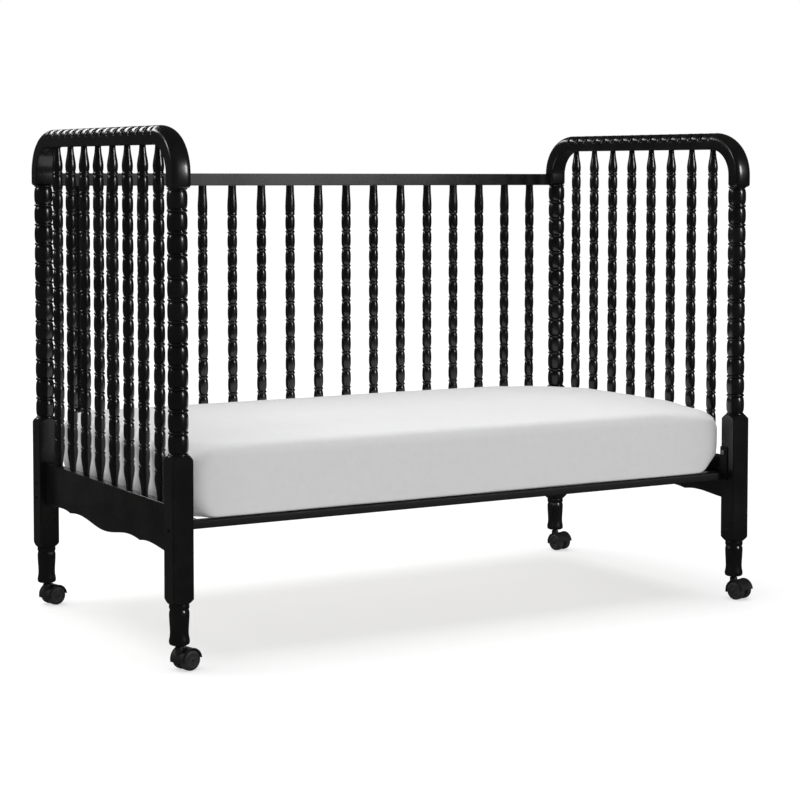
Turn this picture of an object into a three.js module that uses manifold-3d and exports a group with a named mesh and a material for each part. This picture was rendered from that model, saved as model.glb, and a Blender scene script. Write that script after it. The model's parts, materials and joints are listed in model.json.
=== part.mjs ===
// A wooden spool crib with its front side taken off, so that it stands as a day bed.
// Millimetres, +Z up. X runs along the crib, Y runs from the open front to the back panel.
// The origin is on the floor, midway between the four posts.
import * as THREE from "three";
import { mergeVertices } from "three/addons/utils/BufferGeometryUtils.js";
import Module from "manifold-3d";

// Driving dimensions
const postSpacingX = 1360; // between the axes of the left and right posts
const postSpacingY = 724; // between the axes of the front and back posts
const postSquare = 44;
const squareBottomZ = 131;
const squareTopZ = 419;
const shoulderHeight = 13; // the turned shoulders at both ends of the square
const footRadius = 20.25;
const postSpoolRadius = 20;
const postSpoolTopZ = 930;
const postBeads = 12;
const blockThickness = 41; // corner blocks, along X
const blockBevel = 6;
const blockOuterY = 25.5; // from the post's axis to a corner block's outer face
const blockDepth = 34; // where it stands on the post
const blockArcY = 101; // half axes of the block's outer arc
const blockArcZ = 96;
const topRailTopZ = 1052;
const topRailHeight = 37.4;
const topRailCrown = 16.5; // height of the beaded crown above the rail's planed flat sides
const flatInset = 0.3; // of the planed sides inside the beads' crests
const topRailBeads = 15;
const endSpindles = 8;
const endSpindleMargin = 88; // from a post's axis to the nearest spindle's
const endSpindleRadius = 11.3;
const endSpindleNeckRadius = 6.4;
const endSpindleTaper = 57;
const apronThickness = 20;
const apronTopZ = 320;
const apronEdgeZ = 226; // underside where the apron meets a post
const apronHumpZ = 233;
const apronCuspZ = 229;
const apronBellyZ = 220;
const backRailThickness = 24;
const backRailHeight = 28;
const backBottomRailZ = 228;
const backSpindles = 17;
const backSpindleMargin = 82.4; // from a post's axis to the nearest spindle's
const backSpindleRadius = 11.3;
const backSpindleNeckRadius = 9.2;
const backSpindleTaper = 68;
const mattressWidth = 692;
const mattressPlanRadius = 46;
const mattressTopZ = 434;
const mattressTopEdge = 22; // radius of the rounding round the top
const mattressBottomEdge = 18;
const mattressEndGap = 3; // between the sheet and the posts' inner faces
const mattressBackGap = 6; // between the sheet and the back panel
const sheetThickness = 1.2;
const sheetHem = 60; // how far the sheet is tucked in under the mattress
const supportTopZ = 286;
const angleHeight = 16; // the support frame's steel angle
const angleFlange = 18;
const angleWall = 2;
const lugWidth = 24;
const lugTopZ = 345;
const deckBarWidth = 4;
const deckCellsX = 4;
const deckCellsY = 6;
const wheelRadius = 21;
const wheelOuterWidth = 44; // over both wheels of a caster
const casterWebThickness = 8; // the plate between a caster's two wheels
const casterHoodWall = 1.6;
const hoodRake = 0.2; // radians that the hood stops short of level at its open side
const hoodShort = 2; // from each end of the hood to the wheel's face
const hubRadius = 7.8; // of the plate's lower lobe round the axle
const casterTrail = 16; // from the swivel axis to the axle
const casterNeckRadius = 8.5;
const casterNeckRise = 2.5; // of the neck's top above the hood's
const stemShown = 3.5; // between the neck and the post
const stemRadius = 4;
const stemLength = 30; // inside the post
const casterHeading = { left: 12.7, right: -76.1 }; // degrees, of the trail at rest, per end

// Clearances
const touch = 0.3; // between fixed faces that meet
const tenonPlay = 0.35; // radial, round a tenon in its mortise
const stemPlay = 0.3; // radial, at the corners of the stem's socket
const axlePlay = 0.4;
const wheelPlay = 0.6; // between a caster's wheels and its plate and hood

// Joinery
const tenonRadius = 5.5; // of the posts and top rails in the corner blocks
const tenonLength = 22;
const mortiseDepth = 24;
const spindleTenon = 18;
const spindleMortise = 20;
const backTenonRadius = 6;
const axleRadius = 3;

// Worked out from the driving dimensions
// The faceted tread's corners reach past its flats, and so do the corners of the space round it.
const wheelSides = 16;
const facetReach = 1 / Math.cos(Math.PI / wheelSides);
const wheelCorner = wheelRadius * facetReach;
const wheelSpace = (wheelCorner + wheelPlay) * facetReach;
const hoodRadius = wheelSpace + casterHoodWall;
const casterNeckTopZ = wheelRadius + hoodRadius + casterNeckRise;
const postFootZ = casterNeckTopZ + stemShown; // a post stands on its caster
const postX = postSpacingX / 2;
const postY = postSpacingY / 2;
const innerX = postX - postSquare / 2;
const innerY = postY - postSquare / 2;
const blockOuter = postY + blockOuterY;
const topRailUnderZ = topRailTopZ - topRailHeight;
const topRailZ = topRailTopZ - topRailHeight / 2;
const blockCentreY = blockOuter - blockArcY; // of both of a corner block's arcs
const blockCentreZ = topRailTopZ - blockArcZ;
const blockInnerY = blockArcY - blockDepth; // half axes of its inner arc
const blockInnerZ = blockArcZ - topRailHeight;
const topRailHalf = blockCentreY - touch;

const spoolSides = 10;
const spindleSides = 8;
const blockArcSteps = 6;
const cornerSteps = 4;
const hoodSteps = 7;

const xAxis = new THREE.Vector3(1, 0, 0);
const yAxis = new THREE.Vector3(0, 1, 0);
const zAxis = new THREE.Vector3(0, 0, 1);
// Carries a shape drawn in the plane of Y and Z, extruded along X, into place.
const fromEndView = new THREE.Matrix4().makeBasis(yAxis, zAxis, xAxis);

const lacquer = new THREE.MeshStandardMaterial({ color: 0x161616, roughness: 0.3 });
const supportPaint = new THREE.MeshStandardMaterial({
  color: 0x121212,
  roughness: 0.5,
  metalness: 0.3,
});
const springWire = new THREE.MeshStandardMaterial({
  color: 0x9a9a9a,
  roughness: 0.4,
  metalness: 0.9,
});
const hoodPlastic = new THREE.MeshStandardMaterial({ color: 0x1c1c1d, roughness: 0.5 });
const wheelPlastic = new THREE.MeshStandardMaterial({ color: 0x262627, roughness: 0.6 });
const ticking = new THREE.MeshStandardMaterial({ color: 0xf2f0ea, roughness: 0.9 });
const cotton = new THREE.MeshStandardMaterial({ color: 0xededed, roughness: 0.95 });

const wasm = await Module();
wasm.setup();

function solidOf(geometry) {
  const bare = geometry.clone();
  bare.deleteAttribute("normal");
  bare.deleteAttribute("uv");
  const merged = mergeVertices(bare, 1e-3);
  const vertProperties = merged.attributes.position.array;
  const triVerts = new Uint32Array(merged.index.array);
  return new wasm.Manifold(new wasm.Mesh({ numProp: 3, vertProperties, triVerts }));
}

function geometryOf(solid) {
  const mesh = solid.getMesh();
  const geometry = new THREE.BufferGeometry();
  geometry.setAttribute("position", new THREE.BufferAttribute(mesh.vertProperties, 3));
  geometry.setIndex(new THREE.BufferAttribute(mesh.triVerts, 1));
  geometry.computeVertexNormals();
  return geometry;
}

const cut = (body, ...tools) =>
  geometryOf(tools.reduce((left, tool) => left.subtract(solidOf(tool)), solidOf(body)));

// A turned piece about the Z axis, from a profile of [radius, height] points going up.
function turned(profile, sides) {
  const points = profile.map(([radius, height]) => new THREE.Vector2(radius, height));
  return new THREE.LatheGeometry(points, sides).rotateX(Math.PI / 2);
}

const rod = (radius, low, high, sides) =>
  turned([[0, low], [radius, low], [radius, high], [0, high]], sides);

function box(x0, x1, y0, y1, z0, z1) {
  const geometry = new THREE.BoxGeometry(x1 - x0, y1 - y0, z1 - z0);
  return geometry.translate((x0 + x1) / 2, (y0 + y1) / 2, (z0 + z1) / 2);
}

function extrudeUp(shape, z0, z1) {
  const options = { depth: z1 - z0, bevelEnabled: false };
  return new THREE.ExtrudeGeometry(shape, options).translate(0, 0, z0);
}

function rectangle(Kind, x0, x1, y0, y1) {
  const corners = [[x0, y0], [x1, y0], [x1, y1], [x0, y1]];
  return new Kind(corners.map(([x, y]) => new THREE.Vector2(x, y)));
}

// Profile points of a row of equal beads between two heights.
function beads(low, high, count, crest) {
  const valley = crest * 0.92;
  const pitch = (high - low) / count;
  const points = [];
  for (let i = 0; i < count; i++) {
    points.push([valley, low + i * pitch], [crest, low + (i + 0.5) * pitch]);
  }
  return [...points, [valley, high]];
}

// A post is one turned blank, cut back to a square in the middle of its length.
function postGeometry() {
  const beyondCorner = postSquare * 0.77;
  const footHeight = squareBottomZ - postFootZ;
  const foot = (share) => postFootZ + share * footHeight;
  const blank = turned(
    [
      [0, postFootZ],
      [footRadius * 0.85, postFootZ],
      [footRadius, foot(0.09)],
      [footRadius * 0.9, foot(0.3)],
      [footRadius * 0.975, foot(0.74)],
      [footRadius * 0.9, foot(0.86)],
      [footRadius * 0.975, foot(0.92)],
      [footRadius * 0.975, squareBottomZ],
      [beyondCorner, squareBottomZ + shoulderHeight],
      [beyondCorner, squareTopZ - shoulderHeight],
      ...beads(squareTopZ, postSpoolTopZ, postBeads, postSpoolRadius),
      [tenonRadius, postSpoolTopZ],
      [tenonRadius, postSpoolTopZ + tenonLength],
      [0, postSpoolTopZ + tenonLength],
    ],
    spoolSides,
  );
  const half = postSquare / 2;
  const square = box(-half, half, -half, half, 0, topRailTopZ);
  const socket = rod(
    stemRadius + stemPlay,
    postFootZ - touch,
    postFootZ + stemLength + touch,
    wheelSides,
  );
  return geometryOf(solidOf(blank).intersect(solidOf(square)).subtract(solidOf(socket)));
}

// A quarter-round block that turns the post's line into the top rail's, for the back (+Y) end.
function cornerBlockGeometry() {
  const foot = postSpoolTopZ + touch;
  const outline = new THREE.Shape();
  const arc = (halfY, halfZ, from, to) =>
    outline.absellipse(blockCentreY, blockCentreZ, halfY, halfZ, from, to, from > to);
  outline.moveTo(blockCentreY, topRailUnderZ);
  arc(blockInnerY, blockInnerZ, Math.PI / 2, 0);
  outline.lineTo(blockOuter - blockDepth, foot);
  outline.lineTo(blockOuter, foot);
  arc(blockArcY, blockArcZ, 0, Math.PI / 2);
  const block = new THREE.ExtrudeGeometry(outline, {
    depth: blockThickness - 2 * blockBevel,
    bevelThickness: blockBevel,
    bevelSize: blockBevel,
    bevelOffset: -blockBevel,
    bevelSegments: 2,
    curveSegments: blockArcSteps,
  });
  block.translate(0, 0, blockBevel - blockThickness / 2).applyMatrix4(fromEndView);
  // The bevel also rounds the two ends that meet the post and the rail, so both are faced off flat.
  const half = blockThickness / 2;
  const legEnd = box(
    -half + blockBevel,
    half - blockBevel,
    blockOuter - blockDepth + blockBevel,
    blockOuter - blockBevel,
    foot,
    foot + blockBevel * 2,
  );
  const mortiseRadius = tenonRadius + tenonPlay;
  const postMortise = rod(mortiseRadius, foot - 1, foot + mortiseDepth, spoolSides);
  postMortise.translate(0, postY, 0);
  const railMortise = rod(mortiseRadius, -1, mortiseDepth, spoolSides);
  railMortise.rotateX(-Math.PI / 2).translate(0, blockCentreY, topRailZ);
  const joined = solidOf(block).add(solidOf(legEnd));
  return geometryOf(joined.subtract(solidOf(postMortise)).subtract(solidOf(railMortise)));
}

// Places of a row of spindles between two posts that stand this far either side of its middle.
function evenly(count, postDistance, margin) {
  const reach = postDistance - margin;
  return Array.from({ length: count }, (_, i) => -reach + (2 * reach * i) / (count - 1));
}
const endSpindleY = evenly(endSpindles, postY, endSpindleMargin);
const backSpindleX = evenly(backSpindles, postX, backSpindleMargin);

// Beads over the top, flat sides planed flush with the corner blocks, and a tenon at each end.
function topRailGeometry() {
  const half = blockThickness / 2;
  const crownZ = topRailTopZ - topRailCrown;
  const crown = turned(
    [
      [0, -topRailHalf],
      ...beads(-topRailHalf, topRailHalf, topRailBeads, topRailCrown),
      [0, topRailHalf],
    ],
    spoolSides * 2,
  );
  crown.scale(half / topRailCrown, 1, 1).rotateX(-Math.PI / 2).translate(0, 0, crownZ);
  const flat = half - flatInset;
  const planed = box(-flat, flat, -topRailHalf, topRailHalf, topRailUnderZ, crownZ);
  const upperHalf = box(-half, half, -topRailHalf, topRailHalf, crownZ - flatInset, topRailTopZ);
  const tenonEnd = topRailHalf + tenonLength;
  const tenon = rod(tenonRadius, -tenonEnd, tenonEnd, spoolSides);
  tenon.rotateX(-Math.PI / 2).translate(0, 0, topRailZ);
  const radius = endSpindleNeckRadius + tenonPlay;
  const mortises = endSpindleY.map((y) =>
    rod(radius, topRailUnderZ - 5, topRailUnderZ + spindleMortise, spindleSides).translate(0, y, 0),
  );
  const rail = solidOf(crown).intersect(solidOf(upperHalf)).add(solidOf(planed));
  return cut(geometryOf(rail.add(solidOf(tenon))), ...mortises);
}

// Half of the apron's scalloped underside, as [distance from its middle, height] points.
function apronWave() {
  const cuspY = innerY * 0.56;
  const humpY = innerY * 0.69;
  const waveY = innerY * 0.41;
  const points = [];
  const ease = (from, to, share) => from + ((to - from) * (1 - Math.cos(Math.PI * share))) / 2;
  for (let i = 0; i <= 6; i++) {
    points.push([(waveY * i) / 6, ease(apronBellyZ, apronHumpZ, i / 6)]);
  }
  points.push([cuspY, apronCuspZ], [humpY, apronHumpZ]);
  for (let i = 1; i <= 4; i++) {
    points.push([humpY + ((innerY - touch - humpY) * i) / 4, ease(apronHumpZ, apronEdgeZ, i / 4)]);
  }
  return points;
}

function apronGeometry() {
  const wave = apronWave();
  const underside = [...wave.slice(1).map(([y, z]) => [-y, z]).reverse(), ...wave];
  const end = innerY - touch;
  const outline = [...underside, [end, apronTopZ], [-end, apronTopZ]];
  const shape = new THREE.Shape(outline.map(([y, z]) => new THREE.Vector2(y, z)));
  const board = new THREE.ExtrudeGeometry(shape, { depth: apronThickness, bevelEnabled: false });
  board.translate(0, 0, -apronThickness / 2).applyMatrix4(fromEndView);
  const radius = endSpindleNeckRadius + tenonPlay;
  const mortises = endSpindleY.map((y) =>
    rod(radius, apronTopZ - spindleMortise, apronTopZ + 1, spindleSides).translate(0, y, 0),
  );
  return cut(board, ...mortises);
}

function endSpindleGeometry() {
  const low = apronTopZ;
  const high = topRailUnderZ;
  return turned(
    [
      [0, low - spindleTenon],
      [endSpindleNeckRadius, low - spindleTenon],
      [endSpindleNeckRadius, low + touch],
      [endSpindleRadius, low + endSpindleTaper],
      [endSpindleRadius, high - endSpindleTaper],
      [endSpindleNeckRadius, high - touch],
      [endSpindleNeckRadius, high + spindleTenon],
      [0, high + spindleTenon],
    ],
    spindleSides,
  );
}

function backRailGeometry(low, halfLength, mortiseLow, mortiseHigh) {
  const half = backRailThickness / 2;
  const rail = box(-halfLength, halfLength, -half, half, low, low + backRailHeight);
  const mortises = backSpindleX.map((x) =>
    rod(backTenonRadius + tenonPlay, mortiseLow, mortiseHigh, spindleSides).translate(x, 0, 0),
  );
  return cut(rail, ...mortises);
}

function backSpindleGeometry() {
  const low = backBottomRailZ + backRailHeight + touch;
  const high = postSpoolTopZ - touch;
  return turned(
    [
      [0, low - spindleTenon],
      [backTenonRadius, low - spindleTenon],
      [backTenonRadius, low],
      [backSpindleNeckRadius, low],
      [backSpindleRadius, low + backSpindleTaper],
      [backSpindleRadius, high - backSpindleTaper],
      [backSpindleNeckRadius, high],
      [backTenonRadius, high],
      [backTenonRadius, high + spindleTenon],
      [0, high + spindleTenon],
    ],
    spindleSides,
  );
}

// A closed skin over a stack of level rounded rectangles, each {z, halfX, halfY, radius}.
function stacked(levels) {
  const ring = cornerSteps + 1;
  const perLevel = 4 * ring;
  const positions = [];
  for (const { z, halfX, halfY, radius } of levels) {
    for (let corner = 0; corner < 4; corner++) {
      const centreX = (corner === 0 || corner === 3 ? 1 : -1) * (halfX - radius);
      const centreY = (corner < 2 ? 1 : -1) * (halfY - radius);
      for (let step = 0; step < ring; step++) {
        const angle = ((corner + step / cornerSteps) * Math.PI) / 2;
        const reachX = radius * Math.cos(angle);
        const reachY = radius * Math.sin(angle);
        positions.push(centreX + reachX, centreY + reachY, z);
      }
    }
  }
  const floor = positions.length / 3;
  positions.push(0, 0, levels[0].z, 0, 0, levels.at(-1).z);
  const triangles = [];
  for (let i = 0; i < perLevel; i++) {
    const next = (i + 1) % perLevel;
    const lid = (levels.length - 1) * perLevel;
    triangles.push(floor, next, i, floor + 1, lid + i, lid + next);
    for (let level = 0; level < levels.length - 1; level++) {
      const a = level * perLevel + i;
      const b = level * perLevel + next;
      triangles.push(a, b, b + perLevel, a, b + perLevel, a + perLevel);
    }
  }
  const geometry = new THREE.BufferGeometry();
  geometry.setAttribute("position", new THREE.Float32BufferAttribute(positions, 3));
  geometry.setIndex(triangles);
  return geometry;
}

const sheetHalfX = innerX - mattressEndGap;
const sheetHalfY = mattressWidth / 2;
const mattressY = postY - backRailThickness / 2 - mattressBackGap - sheetHalfY;
const sheetBottomZ = supportTopZ + touch;

// The mattress's rounded slab, drawn in by inset on every side.
function slab(inset) {
  const steps = 3;
  const level = (edge, z, angle) => {
    const drawnIn = inset + edge * (1 - Math.cos(angle));
    const radius = mattressPlanRadius - drawnIn;
    return { z, halfX: sheetHalfX - drawnIn, halfY: sheetHalfY - drawnIn, radius };
  };
  const levels = [];
  for (let i = 0; i <= steps; i++) {
    const edge = mattressBottomEdge;
    const angle = (1 - i / steps) * (Math.PI / 2);
    levels.push(level(edge, sheetBottomZ + inset + (edge - inset) * (1 - Math.sin(angle)), angle));
  }
  for (let i = 0; i <= steps; i++) {
    const edge = mattressTopEdge;
    const angle = (i / steps) * (Math.PI / 2);
    levels.push(level(edge, mattressTopZ - inset - (edge - inset) * (1 - Math.sin(angle)), angle));
  }
  return stacked(levels).translate(0, mattressY, 0);
}

function fittedSheetGeometry() {
  const opening = stacked(
    [sheetBottomZ - 1, sheetBottomZ + 2 * sheetThickness].map((z) => ({
      z,
      halfX: sheetHalfX - mattressBottomEdge - sheetHem,
      halfY: sheetHalfY - mattressBottomEdge - sheetHem,
      radius: cornerSteps,
    })),
  );
  return cut(slab(0), slab(sheetThickness), opening.translate(0, mattressY, 0));
}

const supportHalfX = innerX - touch;
const supportFrontY = mattressY - sheetHalfY - 1;
const supportBackY = mattressY + sheetHalfY + 1;

function supportFrameGeometry() {
  const bottomZ = supportTopZ - angleHeight;
  const ring = (wall, z0, z1) => {
    const outline = rectangle(
      THREE.Shape,
      -supportHalfX,
      supportHalfX,
      supportFrontY,
      supportBackY,
    );
    outline.holes.push(
      rectangle(
        THREE.Path,
        -supportHalfX + wall,
        supportHalfX - wall,
        supportFrontY + wall,
        supportBackY - wall,
      ),
    );
    return solidOf(extrudeUp(outline, z0, z1));
  };
  let frame = ring(angleWall, bottomZ, supportTopZ);
  frame = frame.add(ring(angleFlange, supportTopZ - angleWall, supportTopZ));
  for (const side of [-1, 1]) {
    for (const end of [-1, 1]) {
      const x = [side * supportHalfX, side * (supportHalfX - angleWall)].sort((a, b) => a - b);
      // Each lug reaches from inside the ring to the face of its post.
      const inner = end < 0 ? supportFrontY + 9 : supportBackY - 9;
      const y = [inner, inner + end * lugWidth].sort((a, b) => a - b);
      frame = frame.add(solidOf(box(x[0], x[1], y[0], y[1], bottomZ, lugTopZ)));
    }
  }
  return geometryOf(frame);
}

// Flat wires along the bed, tied by lighter ones across it.
function springDeckGeometry() {
  const inset = angleFlange + touch;
  const x0 = -supportHalfX + inset;
  const y0 = supportFrontY + inset;
  const x1 = supportHalfX - inset;
  const y1 = supportBackY - inset;
  const bottomZ = supportTopZ - angleWall;
  const tieGap = angleWall / 4;
  const pitchX = (x1 - x0 - deckBarWidth) / deckCellsX;
  const pitchY = (y1 - y0 - deckBarWidth) / deckCellsY;
  const bars = [];
  for (let j = 0; j <= deckCellsY; j++) {
    const y = y0 + j * pitchY;
    bars.push(box(x0, x1, y, y + deckBarWidth, bottomZ, supportTopZ));
  }
  for (let i = 0; i <= deckCellsX; i++) {
    const x = x0 + tieGap + i * (pitchX - (2 * tieGap) / deckCellsX);
    const ends = [y0 + tieGap, y1 - tieGap];
    bars.push(box(x, x + deckBarWidth, ...ends, bottomZ + tieGap, supportTopZ - tieGap));
  }
  return geometryOf(bars.map(solidOf).reduce((deck, bar) => deck.add(bar)));
}

// Casters are drawn with the swivel axis on Z, the axle along Y and the trail towards +X.
const wheelSwing = new THREE.Matrix4().makeTranslation(casterTrail, 0, wheelRadius);
const webHalf = casterWebThickness / 2;

// Wheels and their axle turn as one piece. A flat of the faceted tread rests on the floor.
function casterWheelsGeometry() {
  const inner = webHalf + wheelPlay;
  const outer = wheelOuterWidth / 2;
  const wheel = [
    [axleRadius, inner],
    [wheelCorner, inner],
    [wheelCorner, outer - 5],
    [wheelCorner * 0.82, outer - 1],
    [0, outer],
  ];
  const mirrored = wheel.map(([radius, along]) => [radius, -along]).reverse();
  return turned([...mirrored, ...wheel], wheelSides)
    .rotateZ(Math.PI / wheelSides)
    .rotateX(-Math.PI / 2)
    .applyMatrix4(wheelSwing);
}

// The hood over the wheels, the plate between them, the neck and the stem.
function casterHoodGeometry() {
  // Side view: shape x is the trail's direction and shape y is up, extruded along Y.
  const sideOn = (underRadius, width) => {
    const shape = new THREE.Shape();
    shape.absarc(0, 0, hoodRadius, hoodRake, Math.PI, false);
    shape.absarc(0, 0, underRadius, Math.PI, 2 * Math.PI, false);
    const options = { depth: width, bevelEnabled: false, curveSegments: hoodSteps };
    const geometry = new THREE.ExtrudeGeometry(shape, options);
    return geometry.translate(0, 0, -width / 2).rotateX(Math.PI / 2).applyMatrix4(wheelSwing);
  };
  const shell = sideOn(hubRadius, wheelOuterWidth - 2 * hoodShort);
  const plate = sideOn(hubRadius, casterWebThickness);
  const neck = rod(casterNeckRadius, wheelRadius, casterNeckTopZ, spoolSides);
  const sideGap = (side) => {
    const space = rod(wheelSpace, webHalf, wheelOuterWidth, wheelSides);
    return space.rotateX((side * Math.PI) / 2).applyMatrix4(wheelSwing);
  };
  const bore = rod(axleRadius + axlePlay, -casterWebThickness, casterWebThickness, wheelSides);
  bore.rotateX(Math.PI / 2).applyMatrix4(wheelSwing);
  const stem = rod(stemRadius, casterNeckTopZ - 1, postFootZ + stemLength, spoolSides);
  let hood = solidOf(shell).add(solidOf(neck));
  hood = hood.subtract(solidOf(sideGap(1))).subtract(solidOf(sideGap(-1)));
  hood = hood.add(solidOf(plate)).subtract(solidOf(bore));
  return geometryOf(hood.add(solidOf(stem)));
}

const crib = new THREE.Group();

function place(parent, name, geometry, material, x = 0, y = 0) {
  const mesh = new THREE.Mesh(geometry, material);
  mesh.name = name;
  mesh.position.set(x, y, 0);
  parent.add(mesh);
  return mesh;
}

const post = postGeometry();
const cornerBlock = cornerBlockGeometry();
const topRail = topRailGeometry();
const apron = apronGeometry();
const endSpindle = endSpindleGeometry();
const backSpindle = backSpindleGeometry();
const casterHood = casterHoodGeometry();
const casterWheels = casterWheelsGeometry();

for (const [end, side] of [["left", -1], ["right", 1]]) {
  const frame = new THREE.Group();
  frame.position.x = side * postX;
  crib.add(frame);
  for (const [face, direction] of [["front", -1], ["back", 1]]) {
    const corner = face + "_" + end;
    place(frame, corner + "_post", post, lacquer, 0, direction * postY);
    const block = place(frame, corner + "_corner_block", cornerBlock, lacquer);
    if (direction < 0) block.rotation.z = Math.PI;
    const caster = new THREE.Group();
    caster.position.y = direction * postY;
    caster.rotation.z = THREE.MathUtils.degToRad(casterHeading[end]);
    frame.add(caster);
    place(caster, corner + "_caster_hood", casterHood, hoodPlastic);
    place(caster, corner + "_caster_wheels", casterWheels, wheelPlastic);
  }
  place(frame, end + "_top_rail", topRail, lacquer);
  place(frame, end + "_apron", apron, lacquer);
  endSpindleY.forEach((y, i) => {
    place(frame, end + "_spindle_" + (i + 1), endSpindle, lacquer, 0, y);
  });
}

const backTopRail = backRailGeometry(
  postSpoolTopZ,
  postX - blockThickness / 2 - touch,
  postSpoolTopZ - 1,
  postSpoolTopZ + spindleMortise,
);
const backBottomRail = backRailGeometry(
  backBottomRailZ,
  innerX - touch,
  backBottomRailZ + backRailHeight - spindleMortise,
  backBottomRailZ + backRailHeight + 1,
);
place(crib, "back_top_rail", backTopRail, lacquer, 0, postY);
place(crib, "back_bottom_rail", backBottomRail, lacquer, 0, postY);
backSpindleX.forEach((x, i) => {
  place(crib, "back_spindle_" + (i + 1), backSpindle, lacquer, x, postY);
});

place(crib, "mattress_support_frame", supportFrameGeometry(), supportPaint);
place(crib, "spring_deck", springDeckGeometry(), springWire);
place(crib, "mattress", slab(sheetThickness + touch), ticking);
place(crib, "fitted_sheet", fittedSheetGeometry(), cotton);

export default crib;
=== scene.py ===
"""A black spool-turned crib in day bed form: every bead, ring and mould of its lacquered pine,
its sprung steel bed, twin-wheel casters and a mattress in a white fitted sheet."""
import json
import math

import bmesh
import bpy
from mathutils import Matrix, Vector, noise
from mathutils.bvhtree import BVHTree


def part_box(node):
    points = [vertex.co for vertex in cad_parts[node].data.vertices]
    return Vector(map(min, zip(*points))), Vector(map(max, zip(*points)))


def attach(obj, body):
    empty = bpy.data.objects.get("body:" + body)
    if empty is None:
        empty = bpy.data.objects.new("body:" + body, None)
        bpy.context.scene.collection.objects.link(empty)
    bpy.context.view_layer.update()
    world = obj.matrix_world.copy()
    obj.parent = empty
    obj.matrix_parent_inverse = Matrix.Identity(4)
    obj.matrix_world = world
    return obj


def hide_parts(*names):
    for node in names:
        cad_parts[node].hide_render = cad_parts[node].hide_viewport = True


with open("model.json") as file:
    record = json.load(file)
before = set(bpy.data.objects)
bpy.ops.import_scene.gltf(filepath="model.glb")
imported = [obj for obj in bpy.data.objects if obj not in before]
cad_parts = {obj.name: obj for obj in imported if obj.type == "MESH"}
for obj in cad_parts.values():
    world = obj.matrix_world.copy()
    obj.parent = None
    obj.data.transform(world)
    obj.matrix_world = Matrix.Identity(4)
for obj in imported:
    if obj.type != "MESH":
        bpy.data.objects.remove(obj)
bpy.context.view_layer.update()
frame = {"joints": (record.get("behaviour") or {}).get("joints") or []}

MM = 0.001
UP = Vector((0, 0, 1))


# ---------------------------------------------------------------- sizes, from the frame
def middle(node):
    """The centre of a CAD node's box."""
    low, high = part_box(node)
    return (low + high) / 2


ENDS = {"left": -1, "right": 1}
FACES = {"front": -1, "back": 1}
CORNERS = [(face, end) for end in ENDS for face in FACES]

post_low, post_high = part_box("front_left_post")
POST_X = abs(middle("front_left_post").x)
POST_Y = abs(middle("front_left_post").y)
POST_HALF = (post_high.x - post_low.x) / 2
POST_FOOT = post_low.z
block_low, block_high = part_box("back_right_corner_block")
SPOOL_TOP = block_low.z
BLOCK_HALF = (block_high.x - block_low.x) / 2
RAIL_TOP = block_high.z
RAIL_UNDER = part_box("left_top_rail")[0].z
apron_low, apron_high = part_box("left_apron")
rail_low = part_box("back_top_rail")[0]
sheet_low, sheet_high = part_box("fitted_sheet")
support_low, support_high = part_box("mattress_support_frame")

# Between these heights a post is square: below is its turned foot, above its beaded column.
SQUARE_LOW, SQUARE_HIGH = 131 * MM, 419 * MM


# ---------------------------------------------------------------- camera
def stand_camera():
    """A long lens level with the end rails, 4.7 m off towards the crib's left front."""
    data = bpy.data.cameras.new("camera")
    camera = bpy.data.objects.new("camera", data)
    bpy.context.scene.collection.objects.link(camera)
    bpy.context.scene.camera = camera
    camera.location = (-2.30913, -4.0708, 0.96289)
    camera.rotation_euler = [math.radians(a) for a in (86.83903, -0.12562, -31.47421)]
    data.lens = 94.66422
    data.shift_x = -0.08
    data.shift_y = -0.14


# ---------------------------------------------------------------- helpers for meshes
def smooth_step(value, low, high):
    share = min(max((value - low) / (high - low), 0.0), 1.0)
    return share * share * (3 - 2 * share)


def link(name, data):
    piece = bpy.data.objects.new(name, data)
    bpy.context.scene.collection.objects.link(piece)
    return piece


def mesh_piece(name, bm, material, smooth=True):
    """A piece from a bmesh, with its faces turned outwards and one material."""
    bmesh.ops.remove_doubles(bm, verts=bm.verts, dist=1e-6)
    bmesh.ops.recalc_face_normals(bm, faces=bm.faces)
    mesh = bpy.data.meshes.new(name)
    bm.to_mesh(mesh)
    bm.free()
    for face in mesh.polygons:
        face.use_smooth = smooth
    mesh.materials.append(material)
    return link(name, mesh)


def finished(piece, *modifiers):
    """The piece's mesh with these modifiers, each (kind, {setting: value}), made final."""
    for kind, settings in modifiers:
        modifier = piece.modifiers.new(kind.lower(), kind)
        for key, value in settings.items():
            setattr(modifier, key, value)
    bpy.context.view_layer.update()
    graph = bpy.context.evaluated_depsgraph_get()
    mesh = bpy.data.meshes.new_from_object(piece.evaluated_get(graph), depsgraph=graph)
    piece.modifiers.clear()
    piece.data = mesh
    return piece


def welded(piece, distance):
    """Joins the points that a planed face brought on to one another."""
    bm = bmesh.new()
    bm.from_mesh(piece.data)
    bmesh.ops.remove_doubles(bm, verts=bm.verts, dist=distance)
    bm.to_mesh(piece.data)
    bm.free()
    return piece


def sharpened(piece, degrees):
    """Smooth shading with a crisp break wherever two faces meet at more than this angle."""
    piece.data.shade_smooth()
    piece.data.set_sharp_from_angle(angle=math.radians(degrees))
    return piece


def joined(name, pieces):
    """Several plain meshes as one piece."""
    bm = bmesh.new()
    materials = []
    for piece in pieces:
        start = len(bm.faces)
        bm.from_mesh(piece.data)
        bm.faces.ensure_lookup_table()
        for material in piece.data.materials:
            if material not in materials:
                materials.append(material)
        own = [materials.index(m) for m in piece.data.materials]
        for face in bm.faces[start:]:
            face.material_index = own[face.material_index] if own else 0
        bpy.data.objects.remove(piece)
    mesh = bpy.data.meshes.new(name)
    bm.to_mesh(mesh)
    bm.free()
    for material in materials:
        mesh.materials.append(material)
    return link(name, mesh)


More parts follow.
